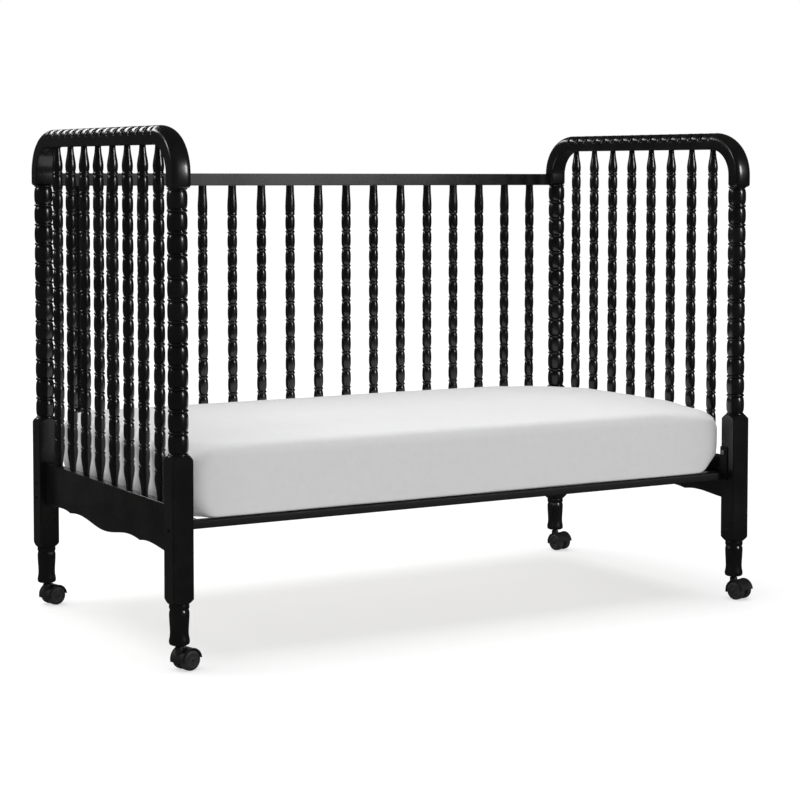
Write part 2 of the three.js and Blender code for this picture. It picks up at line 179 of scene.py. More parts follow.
def moved(piece, matrix):
    """Carries a mesh into place, keeping its object at the origin."""
    piece.data.transform(matrix)
    return piece


def copied(piece, name, matrix):
    mesh = piece.data.copy()
    mesh.transform(matrix)
    if matrix.determinant() < 0:
        mesh.flip_normals()
    return link(name, mesh)


def bridged(bm, rings, looped=False):
    """Faces from each ring of points to the next, and back to the first if looped."""
    for first, second in zip(rings, rings[1:] + (rings[:1] if looped else [])):
        for i in range(len(first)):
            j = (i + 1) % len(first)
            bm.faces.new((first[i], first[j], second[j], second[i]))


def lathed(name, profile, material, sides=48):
    """A turned shape about Z, from (radius, height) points going up; ends on the axis are closed."""
    bm = bmesh.new()
    turns = [2 * math.pi * i / sides for i in range(sides)]
    rings = [
        [bm.verts.new((radius * math.cos(a), radius * math.sin(a), height)) for a in turns]
        for radius, height in profile
    ]
    bridged(bm, rings)
    for ring, radius in ((rings[0], profile[0][0]), (rings[-1], profile[-1][0])):
        if radius > 1e-6:
            bm.faces.new(ring)
    return mesh_piece(name, bm, material)


def cord(name, line, material, squash=1.0):
    """A six-sided cord along a closed line of (place, way out, radius) points."""
    bm = bmesh.new()
    loops = []
    for spot, out, radius in line:
        loop = []
        for i in range(6):
            angle = 2 * math.pi * i / 6
            reach = out * (radius * math.cos(angle)) + UP * (squash * radius * math.sin(angle))
            loop.append(bm.verts.new(spot + reach))
        loops.append(loop)
    bridged(bm, loops, looped=True)
    return mesh_piece(name, bm, material)


def thickened(bm, outline, along):
    """A board from a flat outline, extruded along a vector."""
    made = bmesh.ops.extrude_face_region(bm, geom=[bm.faces.new(outline)])
    shifted = [v for v in made["geom"] if isinstance(v, bmesh.types.BMVert)]
    bmesh.ops.translate(bm, vec=along, verts=shifted)


def eased_box(name, low, high, material, ease=1.5 * MM, segments=3):
    """A planed board with eased edges."""
    bm = bmesh.new()
    bmesh.ops.create_cube(bm, size=1)
    size = Vector(high) - Vector(low)
    bmesh.ops.scale(bm, vec=size, verts=bm.verts)
    bmesh.ops.translate(bm, vec=(Vector(low) + Vector(high)) / 2, verts=bm.verts)
    bmesh.ops.bevel(bm, geom=bm.edges[:], offset=ease, segments=segments, affect="EDGES")
    return mesh_piece(name, bm, material)


# ---------------------------------------------------------------- helpers for node trees
def feed(tree, node, **values):
    """Gives a node's inputs these values, each a plain value or another node's output socket."""
    for key, value in values.items():
        socket = node.inputs[key.replace("_", " ")]
        if isinstance(value, bpy.types.NodeSocket):
            tree.links.new(value, socket)
        else:
            socket.default_value = value
    return node


def add_node(tree, kind, settings=None, **values):
    """One node, with its settings and its inputs."""
    node = tree.nodes.new(kind)
    for key, value in (settings or {}).items():
        setattr(node, key, value)
    return feed(tree, node, **values)


def shaped(tree, kind, settings=None, **values):
    """The first output of a new node."""
    return add_node(tree, kind, settings, **values).outputs[0]


def maths(tree, operation, *values):
    node = add_node(tree, "ShaderNodeMath", {"operation": operation})
    for socket, value in zip(node.inputs, values):
        if isinstance(value, bpy.types.NodeSocket):
            tree.links.new(value, socket)
        else:
            socket.default_value = value
    return node.outputs[0]


def new_geometry_tree(name, inputs):
    """A geometry tree with named inputs, each (socket type, name, starting value)."""
    tree = bpy.data.node_groups.new(name, "GeometryNodeTree")
    tree.interface.new_socket("Geometry", in_out="OUTPUT", socket_type="NodeSocketGeometry")
    for kind, label, value in inputs:
        socket = tree.interface.new_socket(label, in_out="INPUT", socket_type="NodeSocket" + kind)
        if value is not None:
            socket.default_value = value
    given = tree.nodes.new("NodeGroupInput")
    return tree, {socket.name: socket for socket in given.outputs if socket.name}


def close_tree(tree, geometry, material):
    """Ends a tree in real, finished geometry."""
    real = shaped(tree, "GeometryNodeRealizeInstances", Geometry=geometry)
    finish = shaped(tree, "GeometryNodeSetMaterial", Geometry=real, Material=material)
    tree.links.new(finish, tree.nodes.new("NodeGroupOutput").inputs[0])


def grown(name, tree, **values):
    """The plain mesh that a geometry tree makes from these inputs, as a piece."""
    host = link(name, bpy.data.meshes.new(name + "_host"))
    modifier = host.modifiers.new(tree.name, "NODES")
    modifier.node_group = tree
    sockets = {
        item.name: item.identifier for item in tree.interface.items_tree if item.in_out == "INPUT"
    }
    for label, value in values.items():
        modifier[sockets[label.replace("_", " ")]] = value
    bpy.context.view_layer.update()
    graph = bpy.context.evaluated_depsgraph_get()
    mesh = bpy.data.meshes.new_from_object(host.evaluated_get(graph), depsgraph=graph)
    host.modifiers.clear()
    host.data = mesh
    return host


# ---------------------------------------------------------------- finishes
def linear(code, alpha=1.0):
    """An sRGB hex colour as linear values."""
    parts = [int(code[i : i + 2], 16) / 255 for i in (1, 3, 5)]
    return (*[p / 12.92 if p <= 0.04045 else ((p + 0.055) / 1.055) ** 2.4 for p in parts], alpha)


def new_material(name):
    material = bpy.data.materials.new(name)
    material.use_nodes = True
    tree = material.node_tree
    shader = tree.nodes["Principled BSDF"]
    return material, tree, shader


def object_coordinates(tree, scale=(1, 1, 1)):
    """Object coordinates, stretched along the grain or thread by scale."""
    place = add_node(tree, "ShaderNodeTexCoord").outputs["Object"]
    return shaped(tree, "ShaderNodeMapping", Vector=place, Scale=scale)


def blotches(tree, place, scale, detail, roughness=0.5):
    """Noise of this scale at a place, as a share from 0 to 1."""
    return shaped(
        tree, "ShaderNodeTexNoise", Vector=place, Scale=scale, Detail=detail, Roughness=roughness
    )


def ramp(tree, factor, low, high, start=0.3, end=0.7):
    """Factor spread over the range from low to high."""
    given = {"From Min": start, "From Max": end, "To Min": low, "To Max": high}
    return shaped(tree, "ShaderNodeMapRange", Value=factor, **given)


def tint(tree, factor, first, second):
    node = add_node(tree, "ShaderNodeMix", {"data_type": "RGBA"})
    tree.links.new(factor, node.inputs["Factor"])
    node.inputs["A"].default_value = linear(first)
    node.inputs["B"].default_value = linear(second)
    return node.outputs["Result"]


def bump(tree, height, strength, distance, **under):
    """Fine relief, laid over the Normal under it if there is one."""
    given = {"Strength": strength, "Distance": distance, "Height": height, **under}
    return shaped(tree, "ShaderNodeBump", **given)


def lacquered_pine(name, grain):
    """Pine under black nitrocellulose lacquer, sprayed and rubbed down. The eye gets a deep black
    with a soft gloss, faint grain that the film has sunk into, and a slightly greyer, duller
    bloom where hands and rags have been. Grain runs along the axis that grain names."""
    material, tree, shader = new_material(name)
    # Growth rings 2.5 mm apart and pores 0.5 mm wide, both drawn out thirty times along the grain.
    stretch = [1.0, 1.0, 1.0]
    stretch["XYZ".index(grain)] = 1 / 30
    along = object_coordinates(tree, stretch)
    place = object_coordinates(tree)
    rings = blotches(tree, along, 400.0, 3.0, 0.6)
    pores = blotches(tree, along, 1400.0, 2.0)
    film = blotches(tree, place, 160.0, 2.0)
    handling = blotches(tree, place, 9.0, 4.0)
    worn = ramp(tree, handling, 0.0, 1.0, 0.42, 0.66)
    skin = bump(tree, film, 0.06, 0.12 * MM)
    grainy = bump(tree, rings, 0.06, 0.12 * MM, Normal=skin)
    feed(
        tree, shader, Base_Color=tint(tree, worn, "#0C0C0C", "#131312"),
        Roughness=ramp(tree, handling, 0.22, 0.30), IOR=1.5, Coat_Weight=0.3, Coat_Roughness=0.12,
        Normal=bump(tree, pores, 0.04, 0.08 * MM, Normal=grainy),
    )
    return material


def powder_coated_steel():
    """Pressed steel angle under black powder coat. The eye gets a semi-matt black with the fine
    orange peel of baked powder and paler scuffs where it rubs."""
    material, tree, shader = new_material("black_powder_coated_steel")
    place = object_coordinates(tree)
    peel = blotches(tree, place, 700.0, 2.0)
    scuff = blotches(tree, place, 35.0, 6.0, 0.7)
    rubbed = ramp(tree, scuff, 0.0, 1.0, 0.58, 0.75)
    feed(
        tree, shader, Base_Color=tint(tree, rubbed, "#0A0A0A", "#121213"), Specular_IOR_Level=0.3,
        Roughness=ramp(tree, scuff, 0.42, 0.58), Normal=bump(tree, peel, 0.25, 0.2 * MM),
    )
    return material


def zinc_plated_steel():
    """Drawn wire and turned screws under bright zinc. The eye gets a grey metal with a soft
    shine, blotched a little where the plating is thin."""
    material, tree, shader = new_material("zinc_plated_steel")
    thin = blotches(tree, object_coordinates(tree), 220.0, 4.0)
    grey = tint(tree, thin, "#A9ABAD", "#C9CACB")
    feed(tree, shader, Base_Color=grey, Roughness=ramp(tree, thin, 0.25, 0.42), Metallic=1.0)
    return material


def moulded_nylon(name, dark, light, roughness):
    """Glass-filled nylon from a spark-eroded mould. The eye gets a dull charcoal black with a
    fine even grain and greyer dust lying in it."""
    material, tree, shader = new_material(name)
    place = object_coordinates(tree)
    # The mould's grain is 0.3 mm across, drawn at 0.8 mm so that it shows.
    grain = blotches(tree, place, 1250.0, 2.0)
    dust = blotches(tree, place, 90.0, 5.0, 0.65)
    dusty = ramp(tree, dust, 0.0, 1.0, 0.45, 0.75)
    feed(
        tree, shader, Base_Color=tint(tree, dusty, dark, light),
        Roughness=ramp(tree, dust, roughness, roughness + 0.15), IOR=1.53,
        Normal=bump(tree, grain, 0.3, 0.15 * MM),
    )
    return material


def woven_cotton(name, pale, shade, thread):
    """Plain-woven cotton. The eye gets a matt near-white with a soft fuzz at grazing angles, the
    crossing threads' fine check and a slubby unevenness. Thread is the drawn spacing in metres."""
    material, tree, shader = new_material(name)
    place = object_coordinates(tree)
    slub = blotches(tree, place, 60.0, 5.0, 0.6)
    bands_per_scale = 0.31416  # a wave texture of scale 1 repeats every 0.31416 m
    scale = bands_per_scale / thread
    heights = []
    for axis in "XYZ":
        settings = {"wave_type": "BANDS", "bands_direction": axis, "wave_profile": "SIN"}
        wave = add_node(
            tree, "ShaderNodeTexWave", settings, Vector=place, Scale=scale, Distortion=0.6, Detail=1.0
        )
        heights.append(wave.outputs["Fac"])
    check = maths(tree, "MAXIMUM", maths(tree, "MAXIMUM", heights[0], heights[1]), heights[2])
    soft = bump(tree, slub, 0.12, 0.8 * MM)
    feed(
        tree, shader, Base_Color=tint(tree, slub, shade, pale), Roughness=0.92, IOR=1.45,
        Specular_IOR_Level=0.25, Sheen_Weight=0.25, Sheen_Roughness=0.5,
        Normal=bump(tree, check, 0.22, 0.25 * MM, Normal=soft),
    )
    return material


lacquer = {axis: lacquered_pine("black_lacquered_pine_" + axis.lower(), axis) for axis in "XYZ"}
steel = powder_coated_steel()
zinc = zinc_plated_steel()
hood_nylon = moulded_nylon("moulded_nylon_hood", "#171718", "#242424", 0.42)
wheel_nylon = moulded_nylon("moulded_nylon_wheel", "#202021", "#333334", 0.5)
ticking = woven_cotton("quilted_ticking", "#EFECE4", "#E2DED2", 1.2 * MM)
percale = woven_cotton("white_cotton_percale", "#DFDFDF", "#D6D6D7", 0.9 * MM)


# ---------------------------------------------------------------- spool turning
def circle(tree, sides, radius):
    """A circle to sweep along a line."""
    settings = {"mode": "RADIUS"}
    kind = "GeometryNodeCurvePrimitiveCircle"
    return shaped(tree, kind, settings, Resolution=sides, Radius=radius)


def spool_tree():
    """A rod turned into equal barrel beads, each parted from the next by a thin ring between two
    grooves. Both ends are drawn down from a bulb to a neck. The lower half can be planed square
    and the whole section widened, as on a rail that is beaded over its top only."""
    tree, given = new_geometry_tree(
        "spool_turning",
        [
            ("Float", "Length", 0.5), ("Int", "Beads", 12), ("Float", "Bead Radius", 0.02),
            ("Float", "Groove Depth", 0.002), ("Float", "Neck Radius", 0.01),
            ("Float", "Neck Length", 0.05), ("Float", "Width", 1.0), ("Float", "Flat Side", 1.0),
            ("Float", "Flat Under", 1.0), ("Float", "Squareness", 1.0), ("Int", "Rows", 18),
            ("Int", "Sides", 32), ("Material", "Material", None),
        ],
    )
    rows = maths(tree, "MULTIPLY", given["Beads"], given["Rows"])
    neck_rows = maths(tree, "MULTIPLY", given["Rows"], 2.0)
    count = maths(tree, "ADD", maths(tree, "ADD", rows, maths(tree, "MULTIPLY", neck_rows, 2)), 1)
    line = shaped(tree, "GeometryNodeMeshLine", Count=count)
    row = shaped(tree, "GeometryNodeInputIndex")

    def share(value, whole):
        return shaped(tree, "ShaderNodeClamp", Value=maths(tree, "DIVIDE", value, whole))

    def curve(factor, points, straight=False):
        node = add_node(tree, "ShaderNodeFloatCurve", Value=factor)
        line_points = node.mapping.curves[0].points
        while len(line_points) < len(points):
            line_points.new(0.5, 0.5)
        for spot, place in zip(line_points, points):
            spot.location = place
            spot.handle_type = "VECTOR" if straight else "AUTO_CLAMPED"
        node.mapping.update()
        return node.outputs[0]

    def mirrored(half):
        return half + [(1 - x, 1 - y) for x, y in reversed(half)]

    past_neck = maths(tree, "SUBTRACT", row, neck_rows)
    lower = share(row, neck_rows)
    rows_along = maths(tree, "MULTIPLY", share(past_neck, rows), given["Beads"])
    upper = share(maths(tree, "SUBTRACT", past_neck, rows), neck_rows)
    # Rows crowd together round each ring and its grooves, and spread out over the barrel.
    whole_beads = maths(tree, "FLOOR", maths(tree, "ADD", rows_along, 1e-4))
    step = maths(tree, "SUBTRACT", rows_along, whole_beads)
    crowding = mirrored([(0.0, 0.0), (0.33, 0.12), (0.5 - 1e-3, 0.5 - 1e-3)])
    phase = curve(step, crowding, straight=True)
    along = maths(tree, "DIVIDE", maths(tree, "ADD", whole_beads, phase), given["Beads"])
    beaded = maths(
        tree, "SUBTRACT", given["Length"], maths(tree, "MULTIPLY", given["Neck Length"], 2)
    )
    necks = maths(tree, "MULTIPLY", maths(tree, "ADD", lower, upper), given["Neck Length"])
    height = maths(tree, "ADD", necks, maths(tree, "MULTIPLY", along, beaded))
    # Radius over one pitch, from the middle of a ring to the middle of the next: 0 is the bottom
    # of a groove and 1 is the barrel's full radius.
    half_bead = [(0.0, 0.95), (0.03, 0.90), (0.055, 0.65), (0.075, 0.08), (0.088, 0.0)]
    half_bead += [(0.104, 0.34), (0.15, 0.62), (0.24, 0.85), (0.36, 0.97), (0.48, 1.0)]
    bead = half_bead + [(1 - x, y) for x, y in reversed(half_bead)]
    swell = curve(phase, bead, straight=True)
    # From the neck, 0, through the bulb, 1, and a groove to the middle of the first ring.
    bulb = [(0.0, 0.0), (0.1, 0.03), (0.28, 0.22), (0.46, 0.58), (0.62, 0.88), (0.74, 1.0)]
    bulb += [(0.84, 0.93), (0.915, 0.76), (0.928, 0.66), (0.94, 0.66), (0.955, 0.9), (1.0, 0.98)]
    nearest = maths(tree, "MINIMUM", lower, maths(tree, "SUBTRACT", 1.0, upper))
    taper = curve(nearest, bulb)
    valley = maths(tree, "SUBTRACT", given["Bead Radius"], given["Groove Depth"])
    beads = maths(tree, "ADD", valley, maths(tree, "MULTIPLY", swell, given["Groove Depth"]))
    gain = maths(tree, "SUBTRACT", given["Bead Radius"], given["Neck Radius"])
    neck = maths(tree, "ADD", given["Neck Radius"], maths(tree, "MULTIPLY", taper, gain))
    in_neck = maths(tree, "LESS_THAN", nearest, 0.9999)
    radius = shaped(tree, "ShaderNodeMix", {"data_type": "FLOAT"}, Factor=in_neck, A=beads, B=neck)
    place = shaped(tree, "ShaderNodeCombineXYZ", Z=height)
    standing = shaped(tree, "GeometryNodeSetPosition", Geometry=line, Position=place)
    spine = shaped(tree, "GeometryNodeMeshToCurve", Mesh=standing)
    sized = shaped(tree, "GeometryNodeSetCurveRadius", Curve=spine, Radius=radius)
    skin = add_node(
        tree, "GeometryNodeCurveToMesh", Curve=sized,
        Profile_Curve=circle(tree, given["Sides"], 1.0), Fill_Caps=True,
    )
    if "Scale" in skin.inputs:
        tree.links.new(radius, skin.inputs["Scale"])
    where = shaped(tree, "GeometryNodeInputPosition")
    parts = add_node(tree, "ShaderNodeSeparateXYZ", Vector=where)
    below = maths(tree, "LESS_THAN", parts.outputs[1], 0.0)
    extra = maths(tree, "MULTIPLY", below, maths(tree, "SUBTRACT", given["Squareness"], 1.0))
    squared = maths(tree, "ADD", 1.0, extra)
    widened = maths(tree, "MULTIPLY", parts.outputs[0], given["Width"])
    wide = maths(tree, "MULTIPLY", widened, squared)
    flat = maths(tree, "ADD", given["Flat Side"], maths(tree, "SUBTRACT", 1.0, below))
    narrowed = maths(tree, "MINIMUM", wide, flat)
    across = maths(tree, "MAXIMUM", narrowed, maths(tree, "MULTIPLY", flat, -1.0))
    deep = maths(tree, "MULTIPLY", parts.outputs[1], squared)
    under = maths(tree, "MAXIMUM", deep, maths(tree, "MULTIPLY", given["Flat Under"], -1.0))
    planed = shaped(tree, "ShaderNodeCombineXYZ", X=across, Y=under, Z=parts.outputs[2])
    rod = shaped(tree, "GeometryNodeSetPosition", Geometry=skin.outputs[0], Position=planed)
    smooth = shaped(tree, "GeometryNodeSetShadeSmooth", Geometry=rod)
    close_tree(tree, smooth, given["Material"])
    return tree


spool_turning = spool_tree()


def row_of(name, source, places):
    """Copies of one mesh at each of these places, as one piece."""
    pieces = [copied(source, name + "_part", Matrix.Translation(place)) for place in places]
    return joined(name, pieces)


def make_spindles():
    """Spindles of the two end frames and of the back panel."""
    low = apron_high.z
    slim = grown(
        "end_spindle", spool_turning, Length=RAIL_UNDER - low + 6 * MM, Beads=14,
        Bead_Radius=11.3 * MM, Groove_Depth=2.7 * MM, Neck_Radius=6.4 * MM, Neck_Length=60 * MM,
        Rows=18, Sides=18, Material=lacquer["Z"],
    )
    for end, side in ENDS.items():
        nodes = [f"{end}_spindle_{i + 1}" for i in range(8)]
        places = [Vector((side * POST_X, middle(n).y, low - 3 * MM)) for n in nodes]
        piece = row_of(end + "_spindles", slim, places)
        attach(piece, "frame")
        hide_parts(*nodes)
    bpy.data.objects.remove(slim)
    bottom_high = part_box("back_bottom_rail")[1].z
    stout = grown(
        "back_spindle", spool_turning, Length=rail_low.z - bottom_high + 2 * MM, Beads=13,
        Bead_Radius=11.3 * MM, Groove_Depth=2.7 * MM, Neck_Radius=9.2 * MM, Neck_Length=68 * MM,
        Rows=18, Sides=16, Material=lacquer["Z"],
    )
    nodes = [f"back_spindle_{i + 1}" for i in range(17)]
    places = [Vector((middle(n).x, POST_Y, bottom_high - 1 * MM)) for n in nodes]
    piece = row_of("back_spindles", stout, places)
    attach(piece, "frame")
    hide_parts(*nodes)
    bpy.data.objects.remove(stout)


# ---------------------------------------------------------------- posts
def foot_profile(low):
    """The turned foot: a rounded end, a flared toe, a long vase and a ring under the square."""
    points = [(12.0, 0.0), (16.5, 0.3), (18.8, 1.6), (20.0, 4.0), (20.25, 7.0), (19.9, 11.0)]
    points += [(18.6, 17.0), (18.1, 24.0), (18.4, 34.0), (19.2, 46.0), (19.7, 56.0), (19.75, 62.0)]
    points += [(19.2, 66.0), (18.2, 68.2), (18.0, 69.2), (18.9, 70.2), (19.6, 72.0), (19.8, 75.0)]
    points += [(19.6, 78.5), (19.0, 80.5), (19.0, 86.0)]
    return [(0.0, low)] + [(r * MM, low + z * MM) for r, z in points] + [(0.0, low + 86 * MM)]


def make_posts():
    """Posts: turned foot, square with turned shoulders, and a beaded column."""
    half = POST_HALF
    past_corners = half * 1.55
    # One turned shoulder, as radii and how far in from the end of the square.
    shoulder = [(19.4 * MM, 0.0), (22.5 * MM, 2.0 * MM), (27.0 * MM, 6.5 * MM)]
    shoulder.append((past_corners, 14.5 * MM))
    blank_points = [(0, SQUARE_LOW)] + [(r, SQUARE_LOW + up) for r, up in shoulder]
    blank_points += [(r, SQUARE_HIGH - up) for r, up in reversed(shoulder)] + [(0, SQUARE_HIGH)]
    blank = lathed("blank", blank_points, lacquer["Z"], 96)
    square = eased_box(
        "square", (-half, -half, SQUARE_LOW - 10 * MM), (half, half, SQUARE_HIGH + 10 * MM),
        lacquer["Z"], 1.6 * MM,
    )
    finished(square, ("BOOLEAN", {"operation": "INTERSECT", "object": blank, "solver": "EXACT"}))
    bpy.data.objects.remove(blank)
    foot = lathed("foot", foot_profile(POST_FOOT), lacquer["Z"], 48)
    column = grown(
        "column", spool_turning, Length=SPOOL_TOP - SQUARE_HIGH + 1 * MM, Beads=12,
        Bead_Radius=20 * MM, Groove_Depth=3.4 * MM, Neck_Radius=19.6 * MM, Neck_Length=0.5 * MM,
        Rows=24, Sides=40, Material=lacquer["Z"],
    )
    moved(column, Matrix.Translation((0, 0, SQUARE_HIGH - 0.5 * MM)))
    pattern = sharpened(joined("post", [square, foot, column]), 28)
    for face, end in CORNERS:
        place = Matrix.Translation((ENDS[end] * POST_X, FACES[face] * POST_Y, 0))
        piece = copied(pattern, f"{face}_{end}_turned_post", place)
        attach(piece, "frame")
        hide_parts(f"{face}_{end}_post")
    bpy.data.objects.remove(pattern)


# ---------------------------------------------------------------- corner blocks
RAIL_CROWN = 16.5 * MM  # height of the end rails' beaded crown above their planed sides
BLOCK_ARC_Y, BLOCK_ARC_Z = 101 * MM, 96 * MM
BLOCK_DEPTH = 34 * MM
BLOCK_REACH = block_high.y - BLOCK_ARC_Y  # from the middle of the crib to the arcs' centre


def block_section(half_x, outer, inner, share):
    """Points round a corner block's section as (x, out). On the post, share 0, the outer face is
    a shallow crown between eased edges. At the rail, share 1, it is the rail's round top, with a
    fine quirk where the flat sides begin."""
    power = 3.1 - 1.1 * share
    rise = (11.5 * MM) * (1 - share) + RAIL_CROWN * share
    points = []
    steps = 18
    for i in range(steps + 1):
        angle = math.pi / 2 * (1 - 2 * i / steps)
        sine, cosine = math.sin(angle), math.cos(angle)
        x = half_x * math.copysign(abs(sine) ** (2 / power), sine)
        points.append((x, outer - rise * (1 - max(cosine, 0.0) ** (2 / power))))
    quirk = 0.45 * MM * share
    round_in = 3.2 * MM
    for side in (-1, 1):
        flat = side * (half_x - quirk)
        arc = [(flat, outer - rise - 0.5 * MM)]
        for i in range(6):
            angle = i / 5 * math.pi / 2
            x = flat - side * round_in * (1 - math.cos(angle))
            arc.append((x, inner + round_in * (1 - math.sin(angle))))
        points += arc if side < 0 else arc[::-1]
    return points


def make_corner_blocks():
    """Quarter-round blocks that carry the line of each post into the top rail."""
    arc_z = RAIL_TOP - BLOCK_ARC_Z
    in_y, in_z = BLOCK_ARC_Y - BLOCK_DEPTH, RAIL_UNDER - arc_z
    sweep = 30
    # The foot of the leg is rounded over in five steps: how far up, and how far drawn in.
    foot = [(0.0, 6.0), (0.5, 3.8), (1.6, 2.1), (3.2, 0.8), (6.0, 0.0)]
    stations = [(0.0, arc_z - SPOOL_TOP - up * MM, drawn * MM) for up, drawn in foot]
    stations += [(math.pi / 2 * i / sweep, 0.0, 0.0) for i in range(sweep + 1)]
    bm = bmesh.new()
    rings = []
    for angle, below, drawn in stations:
        cosine, sine = math.cos(angle), math.sin(angle)
        outside = Vector((BLOCK_REACH + BLOCK_ARC_Y * cosine, arc_z + BLOCK_ARC_Z * sine - below))
        inside = Vector((BLOCK_REACH + in_y * cosine, arc_z + in_z * sine - below))
        along = (outside - inside).normalized()
        centre = (outside + inside) / 2
        deep = (outside - inside).length / 2 - drawn
        share = smooth_step(angle / (math.pi / 2), 0.15, 1.0)
        ring = []
        for x, out in block_section(BLOCK_HALF - drawn, deep, -deep, share):
            spot = centre + along * out
            ring.append(bm.verts.new((x, spot.x, spot.y)))
        rings.append(ring)
    bridged(bm, rings)
    bm.faces.new(rings[0])
    bm.faces.new(rings[-1])
    pattern = sharpened(mesh_piece("block", bm, lacquer["Y"]), 20)
    for face, end in CORNERS:
        place = Matrix.Translation((ENDS[end] * POST_X, 0, 0))
        if face == "front":
            place = place @ Matrix.Rotation(math.pi, 4, "Z")
        piece = copied(pattern, f"{face}_{end}_moulded_corner", place)
        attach(piece, "frame")
        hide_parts(f"{face}_{end}_corner_block")
    bpy.data.objects.remove(pattern)


# ---------------------------------------------------------------- rails and aprons
def make_top_rails():
    """End frames' top rails: beaded over the top, planed flat at the sides and underneath."""
    axis_z = RAIL_TOP - RAIL_CROWN
    rail = grown(
        "rail", spool_turning, Length=2 * BLOCK_REACH + 0.4 * MM, Beads=15, Bead_Radius=RAIL_CROWN,
        Groove_Depth=2.8 * MM, Neck_Radius=RAIL_CROWN - 0.5 * MM, Neck_Length=0.5 * MM,
        Width=BLOCK_HALF / RAIL_CROWN, Flat_Side=BLOCK_HALF - 0.4 * MM, Flat_Under=axis_z - RAIL_UNDER,
        Squareness=1.75, Rows=24, Sides=72, Material=lacquer["Y"],
    )
    sharpened(welded(rail, 0.02 * MM), 50)
    # The tree's rod climbs along Z with its planed side towards -Y, so it is laid along Y.
    turn = Matrix.Rotation(math.pi / 2, 4, "X")
    for end, side in ENDS.items():
        place = Matrix.Translation((side * POST_X, BLOCK_REACH + 0.2 * MM, axis_z)) @ turn
        piece = copied(rail, end + "_beaded_rail", place)
        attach(piece, "frame")
        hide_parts(end + "_top_rail")
    bpy.data.objects.remove(rail)


def apron_underside(reach):
    """Half of the apron's scalloped lower edge, as (distance from its middle, height)."""
    belly, hump, cusp, edge = (h * MM for h in (220, 233, 229, 226))
    wave_y, cusp_y, hump_y = 0.41 * reach, 0.56 * reach, 0.69 * reach

    def ease(first, last, share):
        return first + (last - first) * (1 - math.cos(math.pi * share)) / 2

    points = [(wave_y * i / 24, ease(belly, hump, i / 24)) for i in range(25)]
    eighths = [i / 8 for i in range(1, 9)]
    for share in eighths:
        points.append((wave_y + (cusp_y - wave_y) * share, hump + (cusp - hump) * share**2))
    for share in eighths:
        rise = (hump - cusp) * (1 - (1 - share) ** 2)
        points.append((cusp_y + (hump_y - cusp_y) * share, cusp + rise))
    for i in range(1, 17):
        points.append((hump_y + (reach - hump_y) * i / 16, ease(hump, edge, i / 16)))
    return points


def make_aprons():
    """Scalloped boards between the legs at both ends."""
    half = (apron_high.x - apron_low.x) / 2
    reach = apron_high.y
    wave = apron_underside(reach)
    outline = [(-y, z) for y, z in reversed(wave[1:])] + wave
    outline += [(reach, apron_high.z), (-reach, apron_high.z)]
    bm = bmesh.new()
    thickened(bm, [bm.verts.new((-half, y, z)) for y, z in outline], (2 * half, 0, 0))
    pattern = mesh_piece("apron", bm, lacquer["Y"])
    finished(
        pattern,
        ("BEVEL", {"width": 1.8 * MM, "segments": 3, "limit_method": "ANGLE", "angle_limit": 0.9}),
    )
    sharpened(pattern, 32)
    for end, side in ENDS.items():
        piece = copied(pattern, end + "_scalloped_apron", Matrix.Translation((side * POST_X, 0, 0)))
        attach(piece, "frame")
        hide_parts(end + "_apron")
    bpy.data.objects.remove(pattern)


def make_back_rails():
    for node in ("back_top_rail", "back_bottom_rail"):
        low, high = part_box(node)
        piece = eased_box(node.replace("rail", "board"), low, high, lacquer["X"], 2.2 * MM, 4)
        sharpened(piece, 35)
        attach(piece, "frame")
        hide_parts(node)


# ---------------------------------------------------------------- screws
def screw_tree():
    """A cap screw's head: a low cylinder with a softened rim and a six-sided socket."""
    tree, given = new_geometry_tree(
        "socket_screw",
        [
            ("Float", "Head Radius", 0.004), ("Float", "Head Height", 0.002),
            ("Float", "Socket Radius", 0.002), ("Float", "Socket Depth", 0.0015),
            ("Int", "Sides", 28), ("Material", "Material", None),
        ],
    )
    rim = maths(tree, "MULTIPLY", given["Head Radius"], 0.1)
    flank_height = maths(tree, "SUBTRACT", given["Head Height"], rim)
    sides, wide = given["Sides"], given["Head Radius"]
    flank = shaped(
        tree, "GeometryNodeMeshCylinder", Vertices=sides, Radius=wide, Depth=flank_height
    )
    narrow = maths(tree, "SUBTRACT", wide, rim)
    crown = shaped(
        tree, "GeometryNodeMeshCone", Vertices=sides, Radius_Bottom=wide, Radius_Top=narrow,
        Depth=rim,
    )

    def raised(geometry, height):
        place = shaped(tree, "ShaderNodeCombineXYZ", Z=height)
        return shaped(tree, "GeometryNodeTransform", Geometry=geometry, Translation=place)

    lower = raised(flank, maths(tree, "MULTIPLY", flank_height, 0.5))
    upper = raised(crown, flank_height)
    head = add_node(tree, "GeometryNodeMeshBoolean", {"operation": "UNION", "solver": "EXACT"})
    tree.links.new(lower, head.inputs["Mesh 2"])
    tree.links.new(upper, head.inputs["Mesh 2"])
    radius, depth = given["Socket Radius"], given["Socket Depth"]
    socket = shaped(tree, "GeometryNodeMeshCylinder", Vertices=6, Radius=radius, Depth=depth)
    drilled = add_node(
        tree, "GeometryNodeMeshBoolean", {"operation": "DIFFERENCE", "solver": "EXACT"}
    )
    tree.links.new(head.outputs[0], drilled.inputs["Mesh 1"])
    tree.links.new(raised(socket, given["Head Height"]), drilled.inputs["Mesh 2"])
    close_tree(tree, drilled.outputs[0], given["Material"])
    return tree


